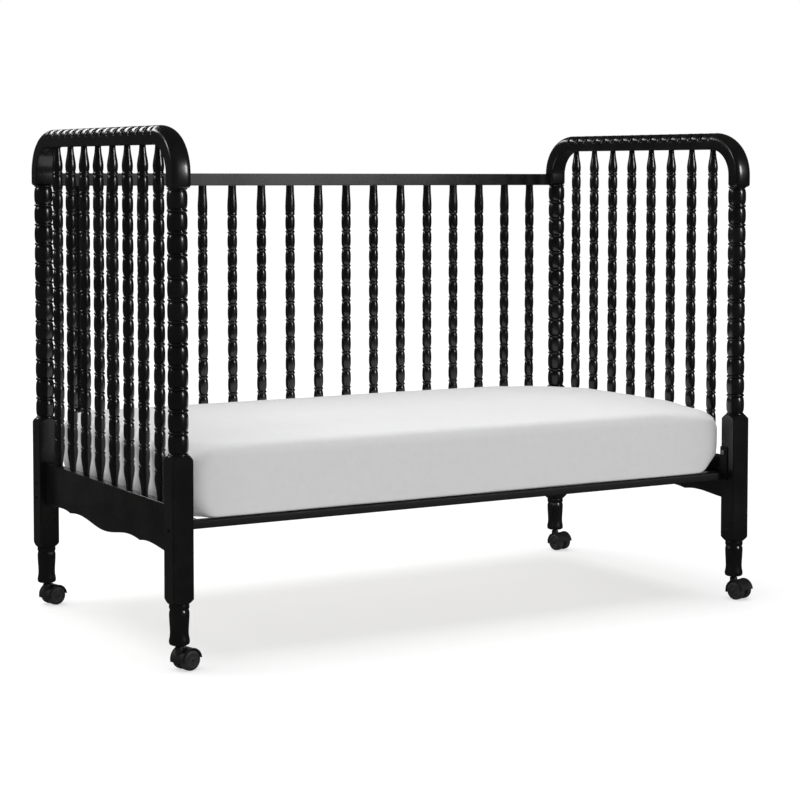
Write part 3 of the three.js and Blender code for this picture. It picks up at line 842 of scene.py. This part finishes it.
def make_screws():
    """Cap screws that hold the end frames to the support and the back panel to the posts."""
    tree = screw_tree()
    pattern = grown(
        "screw", tree, Head_Radius=3.6 * MM, Head_Height=1.2 * MM, Socket_Radius=1.9 * MM,
        Socket_Depth=1.6 * MM, Material=steel,
    )
    out_x = POST_X + POST_HALF
    pieces = []
    for side in ENDS.values():
        outwards = Matrix.Rotation(side * math.pi / 2, 4, "Y")
        heights = {"front": [SUPPORT_Z], "back": [SUPPORT_Z, middle("back_bottom_rail").z]}
        for face, levels in heights.items():
            for z in levels:
                place = Matrix.Translation((side * out_x, FACES[face] * POST_Y, z))
                pieces.append(copied(pattern, "one_screw", place @ outwards))
    bpy.data.objects.remove(pattern)
    screws = joined("frame_cap_screws", pieces)
    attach(screws, "frame")
    lug_pattern = grown(
        "lug_screw", tree, Head_Radius=5.5 * MM, Head_Height=3.0 * MM, Socket_Radius=2.6 * MM,
        Socket_Depth=3.6 * MM, Material=zinc,
    )
    pieces = []
    for side in ENDS.values():
        inwards = Matrix.Rotation(-side * math.pi / 2, 4, "Y")
        for direction in FACES.values():
            y = LUG_Y[direction]
            place = Matrix.Translation((side * (support_high.x - LUG_WALL), y, LUG_SCREW_Z))
            pieces.append(copied(lug_pattern, "one_screw", place @ inwards))
    bpy.data.objects.remove(lug_pattern)
    screws = joined("support_lug_screws", pieces)
    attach(screws, "frame")


# ---------------------------------------------------------------- mattress support
LUG_WALL = 2.4 * MM
LUG_WIDTH = 24 * MM
ANGLE_WALL = 2.2 * MM
ANGLE_FLANGE = 18 * MM
SUPPORT_TOP = 286 * MM
SUPPORT_LOW = support_low.z
SUPPORT_Z = (SUPPORT_TOP + SUPPORT_LOW) / 2 - 3 * MM
LUG_TOP = support_high.z
LUG_SCREW_Z = LUG_TOP - 13 * MM
# The lugs stand half their width outside the angle frame, against the posts' inner faces.
LUG_Y = {-1: support_low.y + LUG_WIDTH / 2, 1: support_high.y - LUG_WIDTH / 2}
ANGLE_Y = {-1: support_low.y + 15 * MM, 1: support_high.y - 15 * MM}


def angle_section():
    """The rolled angle's section as (inwards, height) points: an upright web under a flange."""
    top, low = SUPPORT_TOP, SUPPORT_LOW
    wall, fillet = ANGLE_WALL, 2.0 * MM
    points = [(0, low + 0.5 * MM), (0, top - 3.0 * MM), (0.25 * MM, top - 1.7 * MM)]
    points += [(0.9 * MM, top - 0.7 * MM), (1.8 * MM, top - 0.15 * MM), (3.0 * MM, top)]
    points += [(ANGLE_FLANGE - 0.6 * MM, top), (ANGLE_FLANGE, top - 0.6 * MM)]
    points += [(ANGLE_FLANGE, top - wall + 0.5 * MM), (ANGLE_FLANGE - 0.5 * MM, top - wall)]
    points += [(wall + fillet, top - wall), (wall + 0.6 * MM, top - wall - 0.6 * MM)]
    points += [(wall, top - wall - fillet), (wall, low + 0.5 * MM), (wall - 0.5 * MM, low)]
    points += [(0.5 * MM, low)]
    return points


def make_support_frame():
    """A mitred frame of rolled steel angle, with a cross strap and four bolted lugs."""
    half_x = support_high.x
    section = angle_section()
    corners = [(-1, -1), (1, -1), (1, 1), (-1, 1)]
    bm = bmesh.new()
    rings = []
    for side, end in corners:
        ring = []
        for inwards, z in section:
            y = ANGLE_Y[end] - end * inwards
            ring.append(bm.verts.new((side * (half_x - inwards), y, z)))
        rings.append(ring)
    bridged(bm, rings, looped=True)
    parts = [mesh_piece("angle_ring", bm, steel)]
    for side in ENDS.values():
        for end in FACES.values():
            x = sorted((side * half_x, side * (half_x - LUG_WALL)))
            y = sorted((LUG_Y[end] - LUG_WIDTH / 2, LUG_Y[end] + LUG_WIDTH / 2))
            lug = eased_box(
                "lug", (x[0], y[0], SUPPORT_LOW), (x[1], y[1], LUG_TOP), steel, 0.5 * MM, 2
            )
            parts.append(lug)
    strap_half = 9 * MM
    strap_low = SUPPORT_TOP - ANGLE_WALL - 3 * MM
    strap = eased_box(
        "strap", (-strap_half, ANGLE_Y[-1] + 1 * MM, strap_low),
        (strap_half, ANGLE_Y[1] - 1 * MM, SUPPORT_TOP - ANGLE_WALL), steel, 0.6 * MM, 2,
    )
    parts.append(strap)
    frame_piece = sharpened(joined("angle_support_frame", parts), 35)
    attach(frame_piece, "frame")
    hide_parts("mattress_support_frame")


def drawn_wire(tree, line, given):
    """A round wire along a line, closed at its ends."""
    profile = circle(tree, given["Sides"], given["Wire Radius"])
    kind = "GeometryNodeCurveToMesh"
    return shaped(tree, kind, Curve=line, Profile_Curve=profile, Fill_Caps=True)


def spring_tree():
    """One close-wound tension spring that climbs along Z."""
    tree, given = new_geometry_tree(
        "tension_spring",
        [
            ("Float", "Coil Radius", 0.003), ("Float", "Length", 0.015), ("Float", "Turns", 9.0),
            ("Float", "Wire Radius", 0.0007), ("Int", "Sides", 5), ("Material", "Material", None),
        ],
    )
    coil = shaped(
        tree, "GeometryNodeCurveSpiral", Resolution=9, Rotations=given["Turns"],
        Start_Radius=given["Coil Radius"], End_Radius=given["Coil Radius"], Height=given["Length"],
    )
    close_tree(tree, drawn_wire(tree, coil, given), given["Material"])
    return tree


def wire_tree():
    """A straight drawn wire along X, as long on one side of the middle as on the other."""
    tree, given = new_geometry_tree(
        "deck_wire",
        [
            ("Float", "Half Length", 0.5), ("Float", "Wire Radius", 0.0013), ("Int", "Sides", 8),
            ("Material", "Material", None),
        ],
    )
    half = given["Half Length"]
    start = shaped(tree, "ShaderNodeCombineXYZ", X=maths(tree, "MULTIPLY", half, -1))
    end = shaped(tree, "ShaderNodeCombineXYZ", X=half)
    line = shaped(tree, "GeometryNodeCurvePrimitiveLine", Start=start, End=end)
    smooth = shaped(tree, "GeometryNodeSetShadeSmooth", Geometry=drawn_wire(tree, line, given))
    close_tree(tree, smooth, given["Material"])
    return tree


def make_spring_deck():
    """A net of wires slung inside the angle frame on tension springs."""
    wires_along, wires_across = 7, 13
    spring_length = 16 * MM
    wire_radius = 1.3 * MM
    level = SUPPORT_TOP - 3.2 * MM
    flange_x = support_high.x - ANGLE_FLANGE
    low_y, high_y = ANGLE_Y[-1] + ANGLE_FLANGE, ANGLE_Y[1] - ANGLE_FLANGE
    half_x = flange_x - spring_length
    half_y = (high_y - low_y) / 2 - spring_length
    centre_y = (high_y + low_y) / 2
    wires = wire_tree()
    long_wire = grown(
        "long_wire", wires, Half_Length=half_x, Wire_Radius=wire_radius, Material=zinc
    )
    short_wire = grown(
        "short_wire", wires, Half_Length=half_y, Wire_Radius=wire_radius, Material=zinc
    )
    coil = grown("coil", spring_tree(), Length=spring_length, Material=zinc)
    # The tree's spiral climbs along Z, so a spring is laid down to point along X.
    moved(coil, Matrix.Rotation(math.pi / 2, 4, "Y"))
    quarter = Matrix.Rotation(math.pi / 2, 4, "Z")
    half_turn = Matrix.Rotation(math.pi, 4, "Z")
    parts = []
    for i in range(wires_along):
        y = centre_y + half_y * (2 * i / (wires_along - 1) - 1)
        parts.append(copied(long_wire, "part", Matrix.Translation((0, y, level))))
        parts.append(copied(coil, "part", Matrix.Translation((half_x, y, level))))
        parts.append(copied(coil, "part", Matrix.Translation((-half_x, y, level)) @ half_turn))
    for i in range(wires_across):
        x = half_x * (2 * i / (wires_across - 1) - 1)
        under = level - 2 * wire_radius
        parts.append(copied(short_wire, "part", Matrix.Translation((x, centre_y, under)) @ quarter))
        for turn, end_y in ((quarter, half_y), (quarter @ half_turn, -half_y)):
            place = Matrix.Translation((x, centre_y + end_y, under))
            parts.append(copied(coil, "part", place @ turn))
    for pattern in (long_wire, short_wire, coil):
        bpy.data.objects.remove(pattern)
    deck = joined("sprung_wire_deck", parts)
    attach(deck, "frame")
    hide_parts("spring_deck")


# ---------------------------------------------------------------- casters
WHEEL_RADIUS = 21 * MM
HOOD_RADIUS = 23.4 * MM
HOOD_HALF = 20 * MM
HOOD_RAKE = 0.12  # radians that the hood stops short of level at its open side
WEB_HALF = 4 * MM
HUB_RADIUS = 7.8 * MM
TRAIL = 16 * MM
NECK_RADIUS = 8.5 * MM


def turned_about_y(name, profile, material, sides, low=0.0, high=2 * math.pi):
    """A closed (radius, along) profile swept about Y, over part of a turn or all of it."""
    whole = high - low > 2 * math.pi - 1e-6
    bm = bmesh.new()
    turns = [low + (high - low) * i / sides for i in range(sides if whole else sides + 1)]
    rings = [
        [bm.verts.new((radius * math.cos(a), along, radius * math.sin(a))) for radius, along in profile]
        for a in turns
    ]
    bridged(bm, rings, looped=whole)
    if not whole:
        bm.faces.new(rings[0])
        bm.faces.new(rings[-1])
    return mesh_piece(name, bm, material)


def wheel_pattern():
    """Two moulded wheels on one axle, with domed faces, a stepped rim and a hub cap."""
    face = [(2.0, 22.0), (3.6, 22.0), (4.4, 21.7), (4.6, 20.9), (5.2, 20.7), (9.0, 20.9)]
    face += [(13.2, 20.6), (13.8, 20.9), (14.2, 21.3), (16.4, 21.0), (18.3, 20.0), (19.8, 18.4)]
    face += [(20.7, 16.4), (21.0, 14.2), (21.0, 7.4), (20.7, 6.0), (19.8, 4.6), (2.0, 4.6)]
    one = [(r * MM, along * MM) for r, along in face]
    other = [(r, -along) for r, along in one]
    hollow, pin, reach = 0.01 * MM, 2.9 * MM, WEB_HALF + 1.6 * MM
    axle = [(hollow, -reach), (pin, -reach), (pin, reach), (hollow, reach)]
    wheels = [turned_about_y("wheel", half, wheel_nylon, 56) for half in (one, other)]
    wheels.append(turned_about_y("axle", axle, wheel_nylon, 20))
    return sharpened(joined("wheels", wheels), 38)


def hood_pattern():
    """The hood over both wheels: a curved shell with a lip along each edge, the plate between
    the wheels with its bearing lobe, and the neck that turns on the stem."""
    # The shell's section at one lip, outwards from its radius and inwards from its side.
    lip = [(-1.7, 0.4), (-0.4, 0.0), (0.4, 0.0), (0.7, 0.4), (0.7, 1.6), (0.0, 2.4)]
    section = [(HOOD_RADIUS + out * MM, inwards * MM - HOOD_HALF) for out, inwards in lip]
    section += [(radius, -along) for radius, along in reversed(section)]
    shell = turned_about_y("shell", section, hood_nylon, 40, HOOD_RAKE, math.pi + 0.25)
    plate = HOOD_RADIUS - 0.6 * MM
    outline = []
    for i in range(25):
        angle = HOOD_RAKE + (math.pi - HOOD_RAKE) * i / 24
        outline.append((plate * math.cos(angle), plate * math.sin(angle)))
    for i in range(13):
        angle = math.pi + math.pi * i / 12
        outline.append((HUB_RADIUS * math.cos(angle), HUB_RADIUS * math.sin(angle)))
    bm = bmesh.new()
    thickened(bm, [bm.verts.new((x, -WEB_HALF, z)) for x, z in outline], (0, 2 * WEB_HALF, 0))
    web = mesh_piece("web", bm, hood_nylon)
    finished(web, ("BEVEL", {"width": 0.7 * MM, "segments": 2, "limit_method": "ANGLE"}))
    for part in (shell, web):
        moved(part, Matrix.Translation((TRAIL, 0, WHEEL_RADIUS)))
    neck_top = WHEEL_RADIUS + HOOD_RADIUS + 3.3 * MM
    neck = lathed(
        "neck",
        [
            (0, WHEEL_RADIUS + 9 * MM), (NECK_RADIUS * 0.82, WHEEL_RADIUS + 9 * MM),
            (NECK_RADIUS * 0.98, WHEEL_RADIUS + 15 * MM), (NECK_RADIUS, neck_top - 1.4 * MM),
            (NECK_RADIUS - 0.4 * MM, neck_top - 0.4 * MM), (NECK_RADIUS - 1.4 * MM, neck_top),
            (0, neck_top),
        ],
        hood_nylon,
        40,
    )
    return sharpened(joined("hood", [shell, web, neck]), 34), neck_top


def make_casters():
    joints = {joint["name"]: joint for joint in frame["joints"]}
    wheels = wheel_pattern()
    hood, neck_top = hood_pattern()
    # The visible stem with its collar under the foot, and the socket's flange on the foot.
    collar = [(4.0, -1.0), (4.0, 0.7), (5.2, 0.9), (5.4, 1.5), (5.2, 2.1), (4.0, 2.3)]
    upright = [(0, neck_top - 1 * MM)] + [(r * MM, neck_top + up * MM) for r, up in collar]
    upright += [(4.0 * MM, POST_FOOT + 6 * MM), (0, POST_FOOT + 6 * MM)]
    stem = lathed("stem", upright, zinc, 32)
    flange = [(4.3, -0.6), (7.6, -0.6), (8.2, -0.2), (8.2, 0.2), (4.3, 0.2)]
    flange = [(r * MM, POST_FOOT + up * MM) for r, up in flange]
    socket = lathed("socket", flange, zinc, 32)
    sockets = []
    for face, end in CORNERS:
        corner = f"{face}_{end}"
        swivel = Vector(joints[corner + "_caster_swivel"]["pos_m"])
        axle = joints[corner + "_wheel_spin"]["axis"]
        heading = math.atan2(-axle[0], axle[1])
        stand = Matrix.Translation((swivel.x, swivel.y, 0)) @ Matrix.Rotation(heading, 4, "Z")
        hub = Matrix.Translation((TRAIL, 0, WHEEL_RADIUS))
        piece = copied(wheels, corner + "_twin_wheels", stand @ hub)
        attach(piece, corner + "_wheels")
        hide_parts(corner + "_caster_wheels")
        piece = copied(hood, corner + "_wheel_hood", stand)
        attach(piece, corner + "_caster")
        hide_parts(corner + "_caster_hood")
        piece = copied(stem, corner + "_caster_stem", stand)
        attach(piece, corner + "_caster")
        sockets.append(copied(socket, "socket_part", stand))
    for pattern in (wheels, hood, stem, socket):
        bpy.data.objects.remove(pattern)
    flanges = joined("stem_socket_flanges", sockets)
    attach(flanges, "frame")


# ---------------------------------------------------------------- mattress and sheet
PIPING, SEAM = 27 * MM, 43 * MM  # how far below the top each lifts the sheet in a ridge
SHEET_TUCK = 90 * MM  # how far the sheet reaches in under the mattress
PLAN_RADIUS = 40 * MM
TOP_EDGE, TOP_CORNER = 19 * MM, 17 * MM  # rounding along the sides, and what corners add
BOTTOM_EDGE, BOTTOM_CORNER = 9 * MM, 30 * MM
LOW_ROUNDING, HIGH_ROUNDING = 26 * MM, 20 * MM  # what the plan's radius gains below and above
LOW_REACH, HIGH_REACH = 55 * MM, 50 * MM  # heights over which that gain fades away
CORNER_DIP = {-1: 2 * MM, 1: 11 * MM}  # how much lower the top lies at each end's corners
DIP_NEAR, DIP_FAR = 10 * MM, 190 * MM  # distances from a corner between which its dip fades
DIP_START = 0.45  # share of the pad's height above which its corners dip
PAD_INSET = (-7 * MM, -1 * MM, 3 * MM)  # along X, Y and Z, from the CAD sheet's outer face


def slab_mesh(name, inset, pitch, material):
    """A closed block in clean squares of about this pitch, round cornered in plan and with round
    top and bottom edges, drawn in by inset along X, Y and Z from the CAD sheet's faces."""
    low = sheet_low + Vector(inset)
    high = sheet_high - Vector(inset)
    counts = [max(2, round((high[i] - low[i]) / pitch)) for i in range(3)]
    bm = bmesh.new()
    grid = {}

    def corner(i, j, k):
        if (i, j, k) not in grid:
            share = (i / counts[0], j / counts[1], k / counts[2])
            spot = Vector([low[a] + (high[a] - low[a]) * share[a] for a in range(3)])
            grid[i, j, k] = bm.verts.new(softened(spot, low, high))
        return grid[i, j, k]

    for axis in range(3):
        u, v = (axis + 1) % 3, (axis + 2) % 3
        for end in (0, counts[axis]):
            for a in range(counts[u]):
                for b in range(counts[v]):
                    quad = []
                    for da, db in ((0, 0), (1, 0), (1, 1), (0, 1)):
                        index = [0, 0, 0]
                        index[axis], index[u], index[v] = end, a + da, b + db
                        quad.append(corner(*index))
                    bm.faces.new(quad)
    return mesh_piece(name, bm, material)


def to_circle(first, second):
    """Carries a point of a square corner on to its inscribed quarter circle."""
    length = math.hypot(first, second)
    if length < 1e-9:
        return first, second
    scale = max(abs(first), abs(second)) / length
    return first * scale, second * scale


def softened(spot, low, high):
    """Where a point on the slab's bounding block goes on its rounded skin."""
    radius = PLAN_RADIUS
    radius += LOW_ROUNDING * (1 - smooth_step(spot.z - low.z, 0, LOW_REACH))
    radius += HIGH_ROUNDING * (1 - smooth_step(high.z - spot.z, 0, HIGH_REACH))
    core = Vector([min(max(spot[i], low[i] + radius), high[i] - radius) for i in range(2)])
    away = Vector((spot.x, spot.y)) - core
    if away.length > 1e-9:
        away = Vector(to_circle(away.x, away.y))
        out = away.normalized()
        depth = radius - away.length
        cornering = 2 * abs(out.x * out.y)
        top = TOP_EDGE + TOP_CORNER * cornering
        bottom = BOTTOM_EDGE + BOTTOM_CORNER * cornering
        for edge, rim, up in ((top, high.z, 1), (bottom, low.z, -1)):
            rise = (spot.z - (rim - up * edge)) * up
            if depth < edge and rise > 0:
                across, rise = to_circle(edge - depth, rise)
                depth = edge - across
                spot = Vector((spot.x, spot.y, rim - up * edge + up * rise))
                break
        away = out * (radius - depth)
    reach = math.hypot(
        min(spot.x - low.x, high.x - spot.x) - PLAN_RADIUS / 2,
        min(spot.y - low.y, high.y - spot.y) - PLAN_RADIUS / 2,
    )
    near_corner = 1 - smooth_step(reach, DIP_NEAR, DIP_FAR)
    upper = smooth_step((spot.z - low.z) / (high.z - low.z), DIP_START, 1.0)
    dip = CORNER_DIP[1 if spot.x > (low.x + high.x) / 2 else -1]
    return Vector((core.x + away.x, core.y + away.y, spot.z - dip * near_corner * upper))


def plumped(piece, most, frames=20):
    """Fills the pad with air by cloth simulation, and lets no point move further than most."""
    start = [v.co.copy() for v in piece.data.vertices]
    bottom = min(v.z for v in start)
    held = piece.vertex_groups.new(name="resting")
    held.add([i for i, v in enumerate(start) if v.z < bottom + 4 * MM], 1.0, "REPLACE")
    cloth = piece.modifiers.new("air", "CLOTH")
    stuff = {"quality": 4, "mass": 0.3, "tension_stiffness": 12, "compression_stiffness": 12}
    stuff.update(bending_stiffness=4, use_pressure=True, uniform_pressure_force=4)
    for key, value in stuff.items():
        setattr(cloth.settings, key, value)
    cloth.settings.effector_weights.gravity = 0
    cloth.settings.vertex_group_mass = "resting"
    cloth.point_cache.frame_start = 1
    cloth.point_cache.frame_end = frames
    scene = bpy.context.scene
    for frame_number in range(1, frames + 1):
        scene.frame_set(frame_number)
    graph = bpy.context.evaluated_depsgraph_get()
    swollen = bpy.data.meshes.new_from_object(piece.evaluated_get(graph), depsgraph=graph)
    piece.modifiers.clear()
    piece.vertex_groups.clear()
    for vertex, before in zip(swollen.vertices, start):
        shift = vertex.co - before
        if shift.length > most:
            shift = shift.normalized() * most
        vertex.co = before + shift
    piece.data = swollen
    scene.frame_set(1)
    return piece


def make_mattress():
    """A pad of springs and foam, welted round its top and bottom edges, in a fitted sheet."""
    pad = slab_mesh("pad", PAD_INSET, 11 * MM, ticking)
    plumped(pad, 5 * MM)
    finished(pad, ("SUBSURF", {"levels": 1, "render_levels": 1}))
    welts = welt_cords(pad)
    mattress = joined("mattress_pad", [pad, *welts])
    mattress.data.shade_smooth()
    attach(mattress, "mattress")
    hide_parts("mattress")
    return mattress


def welt_cords(pad):
    """Piped seams round the pad, a little below its top edge and above its bottom edge."""
    half = (sheet_high - sheet_low) / 2
    tree = search_tree(pad)
    cords = []
    for height in (sheet_high.z - 34 * MM, sheet_low.z + 44 * MM):
        line = []
        for spot, out in rounded_walk(half.x, half.y, PLAN_RADIUS, height, 220):
            hit = tree.ray_cast(spot + out * 20 * MM, -out, 0.1)[0]
            line.append((hit or spot, out, 2.0 * MM))
        cords.append(cord("welt", line, ticking))
    return cords


def rounded_walk(half_x, half_y, radius, height, count):
    """Even steps round a rounded rectangle about the sheet's middle, as (place, way out)."""
    middle_x, middle_y, _ = (sheet_low + sheet_high) / 2
    centre = Vector((middle_x, middle_y, height))
    x, y = half_x - radius, half_y - radius
    quarter = radius * math.pi / 2
    legs = [
        (2 * x, Vector((-x, -y, 0)), Vector((1, 0, 0))),
        (2 * y, Vector((x, -y, 0)), Vector((0, 1, 0))),
        (2 * x, Vector((x, y, 0)), Vector((-1, 0, 0))),
        (2 * y, Vector((-x, y, 0)), Vector((0, -1, 0))),
    ]
    steps = []
    for i in range(count):
        travel = 4 * (x + y + quarter) * i / count
        for length, start, along in legs:
            out = Vector((along.y, -along.x, 0))
            spot = centre + start
            if travel <= length:
                steps.append((spot + along * travel + out * radius, out))
                break
            travel -= length
            if travel <= quarter:
                angle = travel / radius
                turned = out * math.cos(angle) + along * math.sin(angle)
                steps.append((spot + along * length + turned * radius, turned))
                break
            travel -= quarter
    return steps


def search_tree(piece):
    """A search tree over a plain mesh."""
    return BVHTree.FromPolygons(
        [v.co for v in piece.data.vertices], [p.vertices for p in piece.data.polygons]
    )


def make_sheet(mattress):
    """A fitted sheet: one skin stretched over the pad, hemmed underneath, with slack folds at
    the corners and the pad's welts showing through."""
    cloth = 1.1 * MM
    sheet = slab_mesh("fitted_cotton_sheet", PAD_INSET, 7.5 * MM, percale)
    pad_tree = search_tree(mattress)
    opening_x = sheet_high.x - SHEET_TUCK
    opening_y = (sheet_high.y - sheet_low.y) / 2 - SHEET_TUCK
    centre = (sheet_low + sheet_high) / 2
    bm = bmesh.new()
    bm.from_mesh(sheet.data)
    under = sheet_low.z + 12 * MM
    cut = [
        face for face in bm.faces if face.calc_center_median().z < under
        and abs(face.calc_center_median().x - centre.x) < opening_x
        and abs(face.calc_center_median().y - centre.y) < opening_y
    ]
    bmesh.ops.delete(bm, geom=cut, context="FACES")
    bm.normal_update()
    targets = []
    for vertex in bm.verts:
        hit, normal, _, _ = pad_tree.find_nearest(vertex.co)
        clear = hit + normal * 1.6 * MM
        targets.append(clear + vertex.normal * (wrinkle(vertex.co, centre) + 0.3 * MM))
    for vertex, target in zip(bm.verts, targets):
        vertex.co = target
    every_axis = {"use_axis_" + axis: True for axis in "xyz"}
    bmesh.ops.smooth_vert(bm, verts=bm.verts, factor=0.4, **every_axis)
    bm.to_mesh(sheet.data)
    bm.free()
    finished(sheet, ("SOLIDIFY", {"thickness": cloth, "offset": 1.0}))
    sheet.data.shade_smooth()
    hem = hem_roll(opening_x, opening_y)
    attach(sheet, "mattress")
    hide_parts("fitted_sheet")
    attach(hem, "mattress")


def wrinkle(spot, centre):
    """How far a fold lifts the sheet at a point: creases that fan from the corners, long slack
    waves along the sides and a faint unevenness on top."""
    high, low = sheet_high, sheet_low
    off_x, off_y = abs(spot.x - centre.x), abs(spot.y - centre.y)
    side = max(off_x / (high.x - centre.x), off_y / (high.y - centre.y))
    corner_x = high.x - PLAN_RADIUS - off_x
    corner_y = (high.y - low.y) / 2 - PLAN_RADIUS - off_y
    reach = math.hypot(max(corner_x, 0.0), max(corner_y, 0.0))
    near_corner = 1.0 - smooth_step(reach, 0.02, 0.22)
    bearing = math.atan2(spot.y - centre.y, off_x)
    on_side = smooth_step(side, 0.93, 0.99)
    fan = noise.noise(Vector((bearing * 60, spot.z * 9, 3.0)))
    creases = near_corner * on_side * 1.7 * MM * max(fan, 0.0)
    drawn = noise.noise(Vector((spot.x * 7, spot.y * 7, spot.z * 45 + 9.0)))
    level_folds = on_side * (0.35 + near_corner) * 1.1 * MM * max(drawn, -0.2)
    wander = noise.noise(Vector((spot.x * 2.3, spot.y * 2.3, 5.0))) * 3 * MM
    for depth in (PIPING, SEAM):
        off_ridge = (high.z - depth + wander - spot.z) / (5.5 * MM)
        level_folds += on_side * 1.6 * MM * math.exp(-off_ridge * off_ridge)
    slack = noise.noise(Vector((spot.x * 3.1, spot.y * 3.1, 17.0))) * 1.3 * MM
    ripples = noise.noise(Vector((spot.x * 11, spot.y * 11, 31.0))) * 0.5 * MM * (1 - on_side)
    return max(creases + level_folds + slack + ripples, -0.2 * MM)


def hem_roll(half_x, half_y):
    """The elastic hem under the mattress, gathered into small even puckers."""
    line = []
    steps = rounded_walk(half_x, half_y, 30 * MM, sheet_low.z + 5.2 * MM, 520)
    for i, (spot, out) in enumerate(steps):
        gather = noise.noise(Vector((i * 0.21, 0.5, 0)))
        pucker = 1.0 + 0.35 * math.sin(i * math.pi * 0.5) * gather
        line.append((spot, out, 2.2 * MM * pucker))
    return cord("sheet_hem", line, percale, 0.6)


# ---------------------------------------------------------------- floor, light
def light_studio():
    """A white floor and surround, a wide overhead light, a tall soft box before the crib's right
    end, and two raised ones, off its left end and behind it, that rim the turnings."""
    bpy.context.scene.view_settings.view_transform = "Standard"
    floor_mesh = bpy.data.meshes.new("studio_floor")
    half = 40
    floor_mesh.from_pydata(
        [(-half, -half, 0), (half, -half, 0), (half, half, 0), (-half, half, 0)], [], [(0, 1, 2, 3)]
    )
    floor = link("studio_floor", floor_mesh)
    # A lit acrylic table: its glow makes it white, and keeps the shadow on it pale.
    material, tree, shader = new_material("white_acrylic_light_table")
    white = (1, 1, 1, 1)
    feed(
        tree, shader, Base_Color=linear("#A6A6A6"), Roughness=0.9, Specular_IOR_Level=0.0,
        Emission_Color=white, Emission_Strength=0.6,
    )
    floor_mesh.materials.append(material)
    floor.visible_glossy = False
    world = bpy.data.worlds.new("studio")
    bpy.context.scene.world = world
    world.use_nodes = True
    tree = world.node_tree
    backdrop = tree.nodes["Background"]
    rays = add_node(tree, "ShaderNodeLightPath")
    # White behind the crib, soft fill on what scatters light, and dark in what mirrors it.
    fill, bright, dark = 0.43, 1.0, 0.035
    from_camera = maths(tree, "MULTIPLY", rays.outputs["Is Camera Ray"], bright - fill)
    in_gloss = maths(tree, "MULTIPLY", rays.outputs["Is Glossy Ray"], fill - dark)
    strength = maths(tree, "SUBTRACT", maths(tree, "ADD", fill, from_camera), in_gloss)
    feed(tree, backdrop, Color=white, Strength=strength)

    def panel(name, spot, target, size, power):
        data = bpy.data.lights.new(name, "AREA")
        data.shape = "RECTANGLE"
        data.size, data.size_y = size
        data.energy = power
        lamp = link(name, data)
        lamp.location = spot
        away = Vector(spot) - Vector(target)
        lamp.rotation_euler = away.to_track_quat("Z", "Y").to_euler()
        return lamp

    sky = bpy.data.lights.new("overhead", "SUN")
    sky.energy = 2.65
    sky.angle = math.radians(60)
    lamp = link("overhead", sky)
    lamp.rotation_euler = Vector((-0.08, 0.12, 1.0)).to_track_quat("Z", "Y").to_euler()
    lamp.visible_glossy = False
    mirrored = panel("right_soft_box", (2.7, -5.0, 2.25), (0, 0, 0.8), (0.95, 1.6), 115)
    mirrored.visible_diffuse = False  # seen in the lacquer, but it doesn't light the sheet
    panel("left_soft_box", (-3.6, 1.6, 2.6), (0, 0, 0.6), (1.2, 0.8), 22)
    panel("back_soft_box", (-1.0, 3.8, 2.7), (0, 0, 0.9), (3.0, 0.6), 30)


stand_camera()
make_posts()
make_corner_blocks()
make_top_rails()
make_aprons()
make_back_rails()
make_spindles()
make_support_frame()
make_spring_deck()
make_screws()
make_casters()
make_sheet(make_mattress())
light_studio()
